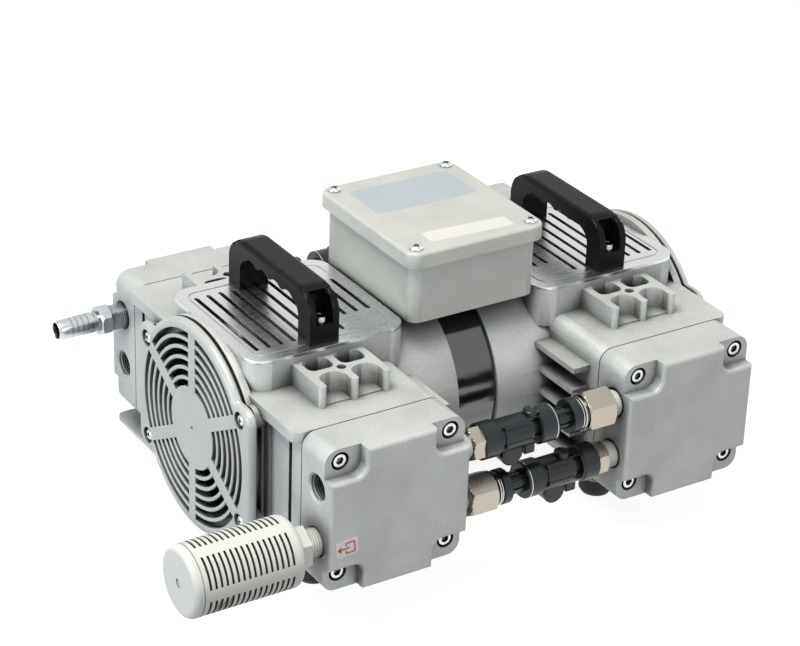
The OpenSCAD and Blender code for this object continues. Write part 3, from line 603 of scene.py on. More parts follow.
def joined(meshes: Iterable[Mesh]) -> Mesh:
    """Joins meshes into one and removes them.

    Args:
        meshes: What is joined.

    Returns:
        One mesh of all of them.
    """
    shape = bmesh.new()
    for mesh in meshes:
        shape.from_mesh(mesh)
        bpy.data.meshes.remove(mesh)
    return finished_mesh(shape)


def points_mesh(points: Iterable[Sequence[float]]) -> Mesh:
    """Makes a mesh of loose points that a node tree puts copies on.

    Args:
        points: The points, in metres.

    Returns:
        The mesh.
    """
    mesh = bpy.data.meshes.new("points")
    mesh.from_pydata([tuple(p) for p in points], [], [])
    return mesh


def add_modifier(piece: Object, name: str, kind: str, **settings: object) -> Modifier:
    """Adds a modifier with its settings.

    Args:
        piece: Object that takes it.
        name: Name of the modifier.
        kind: Its type.
        settings: Its properties.

    Returns:
        The new modifier.
    """
    made = piece.modifiers.new(name, kind)
    for key, value in settings.items():
        setattr(made, key, value)
    return made


def set_inputs(modifier: Modifier, tree: NodeTree, values: dict[str, object]) -> None:
    """Gives a modifier its tree and the tree's inputs by name.

    Args:
        modifier: The Geometry Nodes modifier.
        tree: Tree that it runs.
        values: Input values by name.
    """
    modifier.node_group = tree
    for item in tree.interface.items_tree:
        if item.item_type == "SOCKET" and item.in_out == "INPUT" and item.name in values:
            modifier[item.identifier] = values[item.name]


class Grower:
    """Node trees for what repeats or follows a path, each built once."""

    SHARP_DEG: ClassVar[float] = 50.0

    def __init__(self) -> None:
        """Builds the four trees."""
        self.rows = self.rows_tree()
        self.wheel = self.wheel_tree()
        self.helix = self.helix_tree()
        self.rims = self.rims_tree()

    @staticmethod
    def start(name: str, inputs: dict[str, tuple[str, object]]
              ) -> tuple[NodeTree, bpy.types.bpy_prop_collection]:
        """Makes an empty tree with named inputs.

        Args:
            name: Name of the tree.
            inputs: Socket type and default value by input name.

        Returns:
            The tree and the outputs of its group input node, by name.
        """
        tree = bpy.data.node_groups.new(name, "GeometryNodeTree")
        tree.interface.new_socket("Geometry", in_out="INPUT", socket_type="NodeSocketGeometry")
        for label, (kind, default) in inputs.items():
            socket = tree.interface.new_socket(label, in_out="INPUT", socket_type=kind)
            if default is not None:
                socket.default_value = default
        tree.interface.new_socket("Geometry", in_out="OUTPUT", socket_type="NodeSocketGeometry")
        return tree, add_node(tree, "NodeGroupInput").outputs

    @staticmethod
    def end(tree: NodeTree, shape: Source, finish: Source) -> NodeTree:
        """Closes a tree with Realize Instances and Set Material.

        Args:
            tree: The tree.
            shape: What was grown.
            finish: Its material.

        Returns:
            The same tree.
        """
        real = add_node(tree, "GeometryNodeRealizeInstances", {0: shape})
        dressed = add_node(tree, "GeometryNodeSetMaterial", {"Geometry": real, "Material": finish})
        add_node(tree, "NodeGroupOutput", {0: dressed})
        return tree

    def rows_tree(self) -> NodeTree:
        """Builds a tree that puts a copy of a part on each point, each turned by chance.

        Returns:
            The tree.
        """
        tree, given = self.start("copies_on_points", {
            "Part": ("NodeSocketObject", None), "Lay": ("NodeSocketRotation", None),
            "Turn": ("NodeSocketFloat", 0.0), "Seed": ("NodeSocketInt", 7),
            "Finish": ("NodeSocketMaterial", None)})
        part = add_node(tree, "GeometryNodeObjectInfo", {"Object": given["Part"]})
        chance = add_node(tree, "FunctionNodeRandomValue",
                          {3: given["Turn"], "Seed": given["Seed"]})
        spin = add_node(tree, "ShaderNodeCombineXYZ", {"Z": chance.outputs[1]})
        own = add_node(tree, "FunctionNodeEulerToRotation", {0: spin})
        lay = add_node(tree, "FunctionNodeRotateRotation",
                       {0: given["Lay"], 1: own}, rotation_space="LOCAL")
        spots = add_node(tree, "GeometryNodeMeshToPoints", {0: given["Geometry"]})
        copies = add_node(tree, "GeometryNodeInstanceOnPoints",
                          {"Points": spots, "Instance": part.outputs["Geometry"],
                           "Rotation": lay})
        return self.end(tree, copies, given["Finish"])

    def wheel_tree(self) -> NodeTree:
        """Builds a tree that repeats a part round its Z axis.

        Returns:
            The tree.
        """
        tree, given = self.start("copies_round_an_axis", {
            "Part": ("NodeSocketObject", None), "Count": ("NodeSocketInt", 6),
            "Finish": ("NodeSocketMaterial", None)})
        part = add_node(tree, "GeometryNodeObjectInfo", {"Object": given["Part"]})
        spots = add_node(tree, "GeometryNodeMeshLine", {"Count": given["Count"]},
                         {"Offset": (0, 0, 0)})
        number = add_node(tree, "GeometryNodeInputIndex")
        share = add_node(tree, "ShaderNodeMath", {0: number, 1: given["Count"]}, operation="DIVIDE")
        angle = add_node(tree, "ShaderNodeMath", {0: share}, {1: 2 * math.pi}, operation="MULTIPLY")
        turn = add_node(tree, "ShaderNodeCombineXYZ", {"Z": angle})
        lay = add_node(tree, "FunctionNodeEulerToRotation", {0: turn})
        copies = add_node(tree, "GeometryNodeInstanceOnPoints",
                          {"Points": spots, "Instance": part.outputs["Geometry"],
                           "Rotation": lay})
        return self.end(tree, copies, given["Finish"])

    def helix_tree(self) -> NodeTree:
        """Builds a tree that sweeps a three-sided ridge along a screw line on Z.

        Returns:
            The tree.
        """
        tree, given = self.start("ridge_on_a_screw_line", {
            "Radius": ("NodeSocketFloat", 10.0), "Pitch": ("NodeSocketFloat", 1.8),
            "Turns": ("NodeSocketFloat", 4.0), "Ridge": ("NodeSocketFloat", 0.8),
            "Steps": ("NodeSocketInt", 40), "Finish": ("NodeSocketMaterial", None)})
        rise = add_node(tree, "ShaderNodeMath",
                        {0: given["Pitch"], 1: given["Turns"]}, operation="MULTIPLY")
        path = add_node(tree, "GeometryNodeCurveSpiral",
                        {"Resolution": given["Steps"], "Rotations": given["Turns"],
                         "Start Radius": given["Radius"],
                         "End Radius": given["Radius"], "Height": rise})
        upright = add_node(tree, "GeometryNodeSetCurveNormal", {"Curve": path})
        upright.mode = "Z_UP"
        profile = add_node(tree, "GeometryNodeCurvePrimitiveCircle",
                           {"Radius": given["Ridge"]}, {"Resolution": 3})
        ridge = add_node(tree, "GeometryNodeCurveToMesh",
                         {"Curve": upright, "Profile Curve": profile},
                         {"Fill Caps": True})
        return self.end(tree, ridge, given["Finish"])

    def rims_tree(self) -> NodeTree:
        """Builds a tree that marks sharp edges past a plane, to be rounded broadly.

        Edges round four spots, the seats of screws, stay unmarked.

        Returns:
            The tree.
        """
        tree, given = self.start("mark_broad_rims", {
            "Centre": ("NodeSocketVector", None), "Axis": ("NodeSocketVector", None),
            "Start": ("NodeSocketFloat", None), "Spot": ("NodeSocketVector", None),
            "Clear": ("NodeSocketFloat", None)})
        spot = add_node(tree, "GeometryNodeInputPosition")
        arm = add_node(tree, "ShaderNodeVectorMath", {0: spot, 1: given["Centre"]},
                       operation="SUBTRACT")
        along = add_node(tree, "ShaderNodeVectorMath", {0: arm, 1: given["Axis"]},
                         operation="DOT_PRODUCT")
        folded = add_node(tree, "ShaderNodeVectorMath", {0: arm}, operation="ABSOLUTE")
        gap = add_node(tree, "ShaderNodeVectorMath", {0: folded, 1: given["Spot"]},
                       operation="DISTANCE")
        bend = add_node(tree, "GeometryNodeInputMeshEdgeAngle")
        past = add_node(tree, "FunctionNodeCompare",
                        {0: along.outputs["Value"], 1: given["Start"]}, operation="GREATER_THAN")
        clear = add_node(tree, "FunctionNodeCompare",
                         {0: gap.outputs["Value"], 1: given["Clear"]}, operation="GREATER_THAN")
        sharp = add_node(tree, "FunctionNodeCompare", {0: bend},
                         {1: math.radians(self.SHARP_DEG)}, operation="GREATER_THAN")
        chosen = past
        for test in (clear, sharp):
            chosen = add_node(tree, "FunctionNodeBooleanMath", {0: chosen, 1: test},
                              operation="AND")
        marked = add_node(tree, "GeometryNodeStoreNamedAttribute",
                          {"Geometry": given["Geometry"], "Value": chosen},
                          {"Name": "bevel_weight_edge"}, data_type="FLOAT", domain="EDGE")
        add_node(tree, "NodeGroupOutput", {0: marked})
        return tree

    @staticmethod
    def run(tree: NodeTree, values: dict[str, object], finish: Finish,
            part: Mesh | None = None,
            base: Mesh | None = None) -> Mesh:
        """Evaluates a tree and returns its result as a plain mesh.

        Args:
            tree: What is run.
            values: Input values by name.
            finish: What the result is made of.
            part: Mesh that the tree copies, if it copies one.
            base: Mesh that the tree starts from, if it takes one.

        Returns:
            The mesh, with its finish.
        """
        values = {**values, "Finish": finish.material()}
        if part:
            values["Part"] = linked("sample", part)
        host = linked("host", base or bpy.data.meshes.new("empty"))
        set_inputs(add_modifier(host, "grow", "NODES"), tree, values)
        grown = evaluated(host)
        if part:
            bpy.data.objects.remove(values["Part"])
        return grown

    def copies(self, part: Mesh, spots: Sequence[Vector], axis: Axis, finish: Finish,
               seed: int) -> Mesh:
        """Copies a part built along Z in metres to each spot.

        Args:
            part: The part's mesh.
            spots: Points of the frame.
            axis: Direction that the part's Z takes.
            finish: What the copies are made of.
            seed: Seed of the chance turns about their own axes.

        Returns:
            All copies as one mesh.
        """
        lay = Vector((0, 0, 1)).rotation_difference(Vector(axis.value)).to_euler()
        return self.run(self.rows, {"Lay": tuple(lay), "Turn": 2 * math.pi, "Seed": seed},
                        finish, part, points_mesh(spots))

    def thread(self, radius: float, pitch: float, length: float, ridge: float, axis: Axis,
               origin: Vector, finish: Finish) -> Mesh:
        """Sweeps a thread's ridge.

        Args:
            radius: Radius of the wall that the thread lies on, in millimetres.
            pitch: Rise of one turn, in millimetres.
            length: Length of the thread, in millimetres.
            ridge: Radius of the ridge's three-sided section, in millimetres.
            axis: Direction of the thread.
            origin: Where it starts, in metres.
            finish: What it is made of.

        Returns:
            The ridge, in metres.
        """
        mesh = self.run(self.helix, {"Radius": radius, "Pitch": pitch, "Turns": length / pitch,
                                     "Ridge": ridge}, finish)
        mesh.transform(laid(axis, origin))
        return mesh


@dataclass(frozen=True)
class Rim:
    """Broadly rounded outline of a node's front, with its sizes in millimetres.

    Attributes:
        centre: Point that the other places are measured from.
        axis: Direction in which the front looks.
        start_mm: How far along the axis the front begins.
        width_mm: Width of the rounding.
        spot: Seat of a screw, in the corner where all its coordinates are positive.
        clear_mm: How far from a seat the edges stay as they are.
        steps: Facets of the rounding.
        clamp: Whether the rounding gives way where it would overlap.
    """

    centre: tuple[float, float, float]
    axis: tuple[float, float, float]
    start_mm: float
    width_mm: float
    spot: tuple[float, float, float]
    clear_mm: float = 7.2
    steps: int = 5
    clamp: bool = True

    SLACK_MM: ClassVar[float] = 0.3

    def add(self, piece: Object, tree: NodeTree) -> None:
        """Adds the marking and the rounding to a node.

        Args:
            piece: The node's object.
            tree: Tree that marks the edges.
        """
        set_inputs(add_modifier(piece, "rims", "NODES"), tree, {
            "Centre": tuple(pump_point(*self.centre)), "Axis": self.axis,
            "Start": (self.start_mm - self.SLACK_MM) * MM,
            "Spot": tuple(v * MM for v in self.spot), "Clear": self.clear_mm * MM})
        add_modifier(piece, "broad", "BEVEL", width=self.width_mm * MM, segments=self.steps,
                     limit_method="WEIGHT", use_clamp_overlap=self.clamp)


# Points closer than WELD_MM become one, faces within FLAT_DEG become one face, and edges
# sharper than BROKEN_DEG are broken
WELD_MM = 0.02
FLAT_DEG = 0.8
BROKEN_DEG = 32.0


def dress(node: str, finish: Finish, edge_mm: float = 0.0, rim: Rim | None = None,
          grower: Grower | None = None) -> None:
    """Gives a node its finish and, where asked, softly broken edges.

    Args:
        node: Name of the node.
        finish: What it is made of.
        edge_mm: Width of the broken edge.
        rim: Edges that are rounded more broadly.
        grower: Holder of the tree that marks them.
    """
    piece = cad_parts[node]
    piece.data.materials.clear()
    piece.data.materials.append(finish.material())
    if edge_mm > 0:
        add_modifier(piece, "weld", "WELD", merge_threshold=WELD_MM * MM)
        add_modifier(piece, "flat", "DECIMATE", decimate_type="DISSOLVE",
                     angle_limit=math.radians(FLAT_DEG))
        if rim and grower:
            rim.add(piece, grower.rims)
        add_modifier(piece, "edge", "BEVEL", width=edge_mm * MM, segments=2,
                     limit_method="ANGLE", angle_limit=math.radians(BROKEN_DEG),
                     use_clamp_overlap=True)
    log.info("%s: dressed in %s", node, finish.name)


@dataclass
class Castings:
    """Crankcases, heads and box, which keep the shapes of their nodes."""

    grower: Grower
    edge_mm: float = 0.9
    panel_rim: float = 3.0
    box_edge_mm: float = 1.0
    lid_edge_mm: float = 0.7
    lid_rim: float = 2.2
    lid_clear: float = 3.4

    def dress(self) -> None:
        """Gives each casting its finish and soft edges."""
        seat = (HEAD_SPACING, PANEL_Y, HEAD_SPACING)
        for side, sign in zip(SIDES, SIGNS):
            dress(f"crankcase_{side}", BLASTED_CASTING, self.edge_mm)
            for end, way in zip(ENDS, SIGNS):
                rim = Rim((sign * UNIT_X, 0, 0), (0, way, 0), PANEL_Y, self.panel_rim, seat)
                dress(f"head_{side}_{end}", BLASTED_CASTING, self.edge_mm, rim, self.grower)
        dress("terminal_box", FINE_CASTING, self.box_edge_mm)
        rim = Rim((0, 0, 0), (0, 0, 1), LID_TOP, self.lid_rim, (*LID_SPOT, LID_TOP), self.lid_clear)
        dress("box_lid", FINE_CASTING, self.lid_edge_mm, rim, self.grower)


@dataclass
class Insides:
    """Motor, cranks, rods and cylinders behind the castings."""

    block_edge_mm: float = 0.4

    def dress(self) -> None:
        """Gives each inner node its finish."""
        for node, finish in (("stator", SHEET_STACK), ("rotor_core", SHEET_STACK),
                             ("motor_shaft", TURNED_STEEL)):
            dress(node, finish)
        dress("terminal_block", TERMINAL_NYLON, self.block_edge_mm)
        for side in SIDES:
            for node in ("bearings", "crank"):
                dress(f"{node}_{side}", TURNED_STEEL)
            for end in ENDS:
                for node, finish in (("rod", MACHINED_ALUMINIUM), ("liner", MACHINED_ALUMINIUM),
                                     ("cup", CUP_SEAL), ("valve", TURNED_STEEL)):
                    dress(f"{node}_{side}_{end}", finish)


@dataclass
class Trim:
    """Band, plates, handles, gland, feet and silencer, which keep the shapes of their nodes."""

    grower: Grower
    gland_edge_mm: float = 0.5
    plate_edge_mm: float = 0.35
    foot_edge_mm: float = 0.6
    handle_edge_mm: float = 1.4
    handle_rim: float = 3.6
    handle_rim_start: float = 108.5

    def dress(self) -> None:
        """Gives each trim node its finish and edges."""
        dress("motor_band", BLACK_ENAMEL)
        dress("silencer", IVORY_PLASTIC)
        dress("cable_gland", GREY_NYLON, self.gland_edge_mm)
        rim = Rim((0, 0, 0), (0, 0, 1), self.handle_rim_start, self.handle_rim, (0, 0, 0),
                  steps=4, clamp=False)
        for side in SIDES:
            dress(f"duct_plate_{side}", POLISHED_STAINLESS, self.plate_edge_mm)
            dress(f"handle_{side}", HANDLE_NYLON, self.handle_edge_mm, rim, self.grower)
            dress(f"feet_{side}", BLACK_RUBBER, self.foot_edge_mm)


@dataclass(frozen=True)
class ScrewHead:
    """Head of a screw: its size in millimetres and its recess."""

    radius: float
    height: float
    drive: Drive

    SLOT_LENGTH: ClassVar[float] = 1.15
    SLOT_WIDTH: ClassVar[float] = 0.26

    def mesh(self) -> Mesh:
        """Builds the head on zero, in metres, for the copies.

        Returns:
            The head with its recess.
        """
        r, top = self.radius, self.height
        if self.drive is Drive.HEXAGON:
            rings = [(0.0, 0), (0.0, r), (top - 0.8, r), (top - 0.2, r - 0.25), (top, r - 0.8),
                     (top, hexagon(r + 0.5)), (top - 0.35, hexagon(r)), (top - 3.0, hexagon(r)),
                     (top - 3.8, 0)]
        else:
            slot = r * self.SLOT_LENGTH
            rings = [(0.0, 0), (0.0, r), (top * 0.45, r), (top * 0.75, r * 0.9),
                     (top * 0.93, r * 0.68), (top, cross(slot, slot * self.SLOT_WIDTH)),
                     (top - 1.7, cross(slot * 0.66, slot * 0.17)), (top - 2.1, 0)]
        return turned(rings, 48, TO_METRES)


HEAD_SCREW = ScrewHead(5.0, 6.2, Drive.HEXAGON)
HANDLE_SCREW = ScrewHead(4.6, 4.6, Drive.HEXAGON)
COVER_SCREW = ScrewHead(4.4, 2.9, Drive.CROSS)
LID_SCREW = ScrewHead(4.7, 3.0, Drive.CROSS)


@dataclass
class Screws:
    """All screws that show: socket heads on the heads and handles, cross heads elsewhere."""

    grower: Grower
    head_seat: float = 144.5
    cover_face: float = 189.0
    lid_sink: float = 0.1
    handle_spot: float = 50.28
    handle_seat: float = 89.0

    def on_heads(self) -> None:
        """Makes the four screws of each head."""
        for side, sign in zip(SIDES, SIGNS):
            parts = []
            for end, way, axis in zip(ENDS, SIGNS, (Axis.FRONT, Axis.BACK)):
                spots = [pump_point(sign * UNIT_X + a * HEAD_SPACING, way * self.head_seat,
                                    b * HEAD_SPACING) for a, b in FOUR]
                parts.append(self.grower.copies(HEAD_SCREW.mesh(), spots, axis, BRIGHT_SCREW,
                                                seed=3 + len(side + end)))
            place(joined(parts), f"socket_screws_{side}", BRIGHT_SCREW, "pump",
                  stands_for=[f"head_screws_{side}"])

    def build(self) -> None:
        """Makes all screws and lets them stand for their nodes."""
        self.on_heads()
        y, z = COVER_SPOT
        parts = []
        for sign in SIGNS:
            spots = [pump_point(sign * self.cover_face, a * y, b * z) for a, b in FOUR]
            parts.append(self.grower.copies(COVER_SCREW.mesh(), spots, outward(sign),
                                            BRIGHT_SCREW, seed=11 + sign))
        place(joined(parts), "cross_screws_covers", BRIGHT_SCREW, "pump",
              stands_for=["cover_screws"])
        x, y = LID_SPOT
        spots = [pump_point(a * x, b * y, LID_TOP - self.lid_sink) for a, b in FOUR]
        place(self.grower.copies(LID_SCREW.mesh(), spots, Axis.UP, BRIGHT_SCREW, seed=5),
              "cross_screws_lid", BRIGHT_SCREW, "pump", stands_for=["lid_screws"])
        spots = [pump_point(a * UNIT_X, b * self.handle_spot, self.handle_seat) for a, b in FOUR]
        place(self.grower.copies(HANDLE_SCREW.mesh(), spots, Axis.UP, SHADED_RECESS_SCREW, seed=9),
              "socket_screws_handles", SHADED_RECESS_SCREW, "pump", stands_for=["handle_screws"])


@dataclass
class FanWheel:
    """Cooling fan behind a cover: a hub, a back disc and raked, curved blades."""

    grower: Grower
    blades: int = 11
    radius: float = 64.0
    hub: float = 17.0
    depth: float = 16.4
    bore: float = 8.55
    rake: float = 0.5
    lean: float = 0.05
    taper: float = 0.12
    half_thick: float = 0.9
    steps: int = 8

    def blade(self) -> Mesh:
        """Builds one curved blade along Z.

        Returns:
            The blade, in metres.
        """
        shape = bmesh.new()
        rows = []
        for i in range(self.steps + 1):
            share = i / self.steps
            r = self.hub - 1 + (self.radius - self.hub) * share
            row = []
            for height in (0.6, self.depth * (1 - self.taper * share)):
                turn = self.rake * share * share + self.lean * height / self.depth
                for half in (-self.half_thick, self.half_thick):
                    a = turn + half / r
                    row.append(shape.verts.new((r * math.cos(a), r * math.sin(a), height)))
            rows.append(row)
        for one, two in zip(rows, rows[1:]):
            for a, b in ((0, 1), (1, 3), (3, 2), (2, 0)):
                shape.faces.new((one[a], one[b], two[b], two[a]))
        for row in (rows[0], rows[-1]):
            shape.faces.new((row[0], row[1], row[3], row[2]))
        bmesh.ops.recalc_face_normals(shape, faces=shape.faces)
        return finished_mesh(shape, TO_METRES)

    def build(self, side: str, sign: int) -> None:
        """Makes the wheel of one side, in the place of its node.

        Args:
            side: Which end of the shaft carries it.
            sign: -1 on the left side, 1 on the right side.
        """
        low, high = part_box(f"fan_{side}")
        start = Vector((high[0] if sign < 0 else low[0], CENTRE.y, CENTRE.z))
        lay = laid(outward(sign), start)
        wheel = self.grower.run(self.grower.wheel, {"Count": self.blades}, FAN_NYLON, self.blade())
        wheel.transform(lay @ Matrix.Scale(1 / MM, 4))
        rings = [(0.0, self.bore), (0.0, self.radius), (2.0, self.radius), (2.6, self.radius - 1),
                 (2.6, self.hub + 2), (4.0, self.hub), (self.depth - 1, self.hub - 0.6),
                 (self.depth, self.hub - 2), (self.depth, self.bore), (0.0, self.bore)]
        place(joined([wheel, turned(rings, 96, lay)]), f"fan_wheel_{side}", FAN_NYLON, "rotor",
              stands_for=[f"fan_{side}"])


@dataclass
class FanCover:
    """Grille in front of a fan: six bars, arc slots between rings, and a rolled outline."""

    flange: float = 184.0
    depth: float = 8.4
    lip: float = 2.4
    lip_inset: float = 4.2
    grille: float = 3.5
    outline_r: float = 79.0
    ear: tuple[float, float, float] = (82.0, 49.6, 10.0)
    roll: float = 4.4
    hub: float = 30.4
    pitch: float = 7.4
    slot: float = 4.7
    rings: int = 6
    bars: int = 6
    bar: float = 9.5
    eye: float = 1.3
    edge: float = 0.4
    bar_edge: float = 0.35
    pocket: tuple[float, float] = (6.3, 3.4)

    def outline(self, inset: float) -> Outline:
        """Outline of the cover, drawn inwards.

        Args:
            inset: By how many millimetres.

        Returns:
            The radius as a function of the angle.
        """
        wide, high, corner = self.ear
        return rounded_frame(wide - inset, high - inset, max(corner - inset, 1.0),
                             self.outline_r - inset)

    def mouth(self) -> float:
        """Returns the radius at which the outermost slots end."""
        return self.hub + (self.rings - 1) * self.pitch + self.slot

    def rim(self) -> Mesh:
        """Builds the rolled frame round the slots, with the pockets of its screws.

        Returns:
            The frame, in millimetres along Z.
        """
        inside, edge = self.mouth(), self.edge
        front, back = self.depth, self.depth - self.grille
        lip = self.outline(self.lip_inset)
        profile = [(0.0, lip), (self.lip, lip), (self.lip, self.outline(0.7)),
                   (self.lip + 0.5, self.outline(0.0))]
        for i in range(7):
            a = math.radians(15 * i)
            profile.append((front - self.roll + self.roll * math.sin(a),
                            self.outline(self.roll * (1 - math.cos(a)))))
        profile += [(front, inside + edge), (front - edge, inside), (back, inside),
                    (back, inside + 0.9), (0.0, inside + 0.9), profile[0]]
        radius, deep = self.pocket
        floor = front - deep
        pocket = [(floor, 0), (floor, radius - 0.3), (floor + 0.3, radius), (front + 1, radius),
                  (front + 1, 0)]
        y, z = COVER_SPOT
        pockets = [turned(pocket, 48, Matrix.Translation((a * z, b * y, 0))) for a, b in FOUR]
        return cut(turned(profile, 384), joined(pockets))

    def ring(self, near: float, far: float, top: float) -> Mesh:
        """Builds the ring between two rows of slots.

        Args:
            near: Radius of its inside.
            far: Radius of its outside.
            top: Height of its face.

        Returns:
            The ring.
        """
        back, edge = self.depth - self.grille, self.edge
        return turned([(back, near), (back, far), (top - edge, far), (top, far - edge),
                       (top, near + edge), (top - edge, near), (back, near)], 192)

    def spoke(self, number: int) -> Mesh:
        """Builds one bar from the hub to the frame.

        Args:
            number: Which bar, counted round the hub.

        Returns:
            The bar.
        """
        half, edge = self.bar / 2, self.bar_edge
        back, top = self.depth - self.grille, self.depth - 0.02
        low = self.depth - edge
        outline = [(-half, back), (half, back), (half, low), (half - edge, top),
                   (edge - half, top), (-half, low)]
        shape = bmesh.new()
        ends = [[shape.verts.new((r, w, h)) for w, h in outline]
                for r in (self.hub - 0.6, self.mouth() + 0.2)]
        for j in range(6):
            k = (j + 1) % 6
            shape.faces.new((ends[0][j], ends[0][k], ends[1][k], ends[1][j]))
        shape.faces.new(ends[0])
        shape.faces.new(list(reversed(ends[1])))
        bmesh.ops.recalc_face_normals(shape, faces=shape.faces)
        turn = math.radians(120 + 360 / self.bars * number)
        return finished_mesh(shape, Matrix.Rotation(turn, 4, "Z"))

    def build(self, side: str, sign: int) -> None:
        """Makes the cover of one side, in the place of its node.

        Args:
            side: Which end of the pump it closes.
            sign: -1 on the left side, 1 on the right side.
        """
        front, back, eye = self.depth, self.depth - self.grille, self.eye
        hub = turned([(back, eye), (back, self.hub), (front - self.bar_edge, self.hub),
                      (front, self.hub - self.bar_edge), (front, eye + self.edge),
                      (front - self.edge, eye), (back, eye)], 128)
        rings = [self.ring(self.hub + i * self.pitch + self.slot, self.hub + (i + 1) * self.pitch,
                           front - 0.2) for i in range(self.rings - 1)]
        mesh = joined([self.rim(), hub, *rings, *(self.spoke(i) for i in range(self.bars))])
        mesh.transform(laid(outward(sign), pump_point(sign * self.flange, 0, 0)))
        place(mesh, f"fan_grille_{side}", LACQUERED_COVER, "pump", GRILLE_CORNER_DEG,
              stands_for=[f"fan_cover_{side}"])


# Turned-off corners of a nut: rings, their spacing, where they begin as a share of the width
# across flats, and how fast they widen
NUT_RINGS = 7
NUT_STEP_MM = 0.45
NUT_FACE = 0.97
NUT_SLOPE = 1.45


def hexagon_nut(flats: float, low: float, high: float, round_high: bool) -> Mesh:
    """Builds a hexagon whose corners are turned off at its beginning.

    Args:
        flats: Width across flats.
        low: Where it begins.
        high: Where it ends.
        round_high: Whether the corners are turned off at its end as well.

    Returns:
        The nut, in millimetres along Z.
    """
    six = hexagon(flats)

    def limited(limit: float) -> Outline:
        """The hexagon, no wider than a circle.

        Args:
            limit: Radius of the circle.

        Returns:
            The radius as a function of the angle.
        """
        return lambda a: min(six(a + math.pi / 6), limit)

    depths = [NUT_STEP_MM * i for i in range(NUT_RINGS)]
    spans = [(depth, flats / 2 * NUT_FACE + depth * NUT_SLOPE) for depth in depths]
    start = [(low + d, c) for d, c in spans]
    end = [(high - d, c) for d, c in reversed(spans)] if round_high else [
        (high, flats / math.sqrt(3))]
    rings = [(height, limited(limit)) for height, limit in start + end]
    return turned([(low, 0), *rings, (high, 0)], 144)


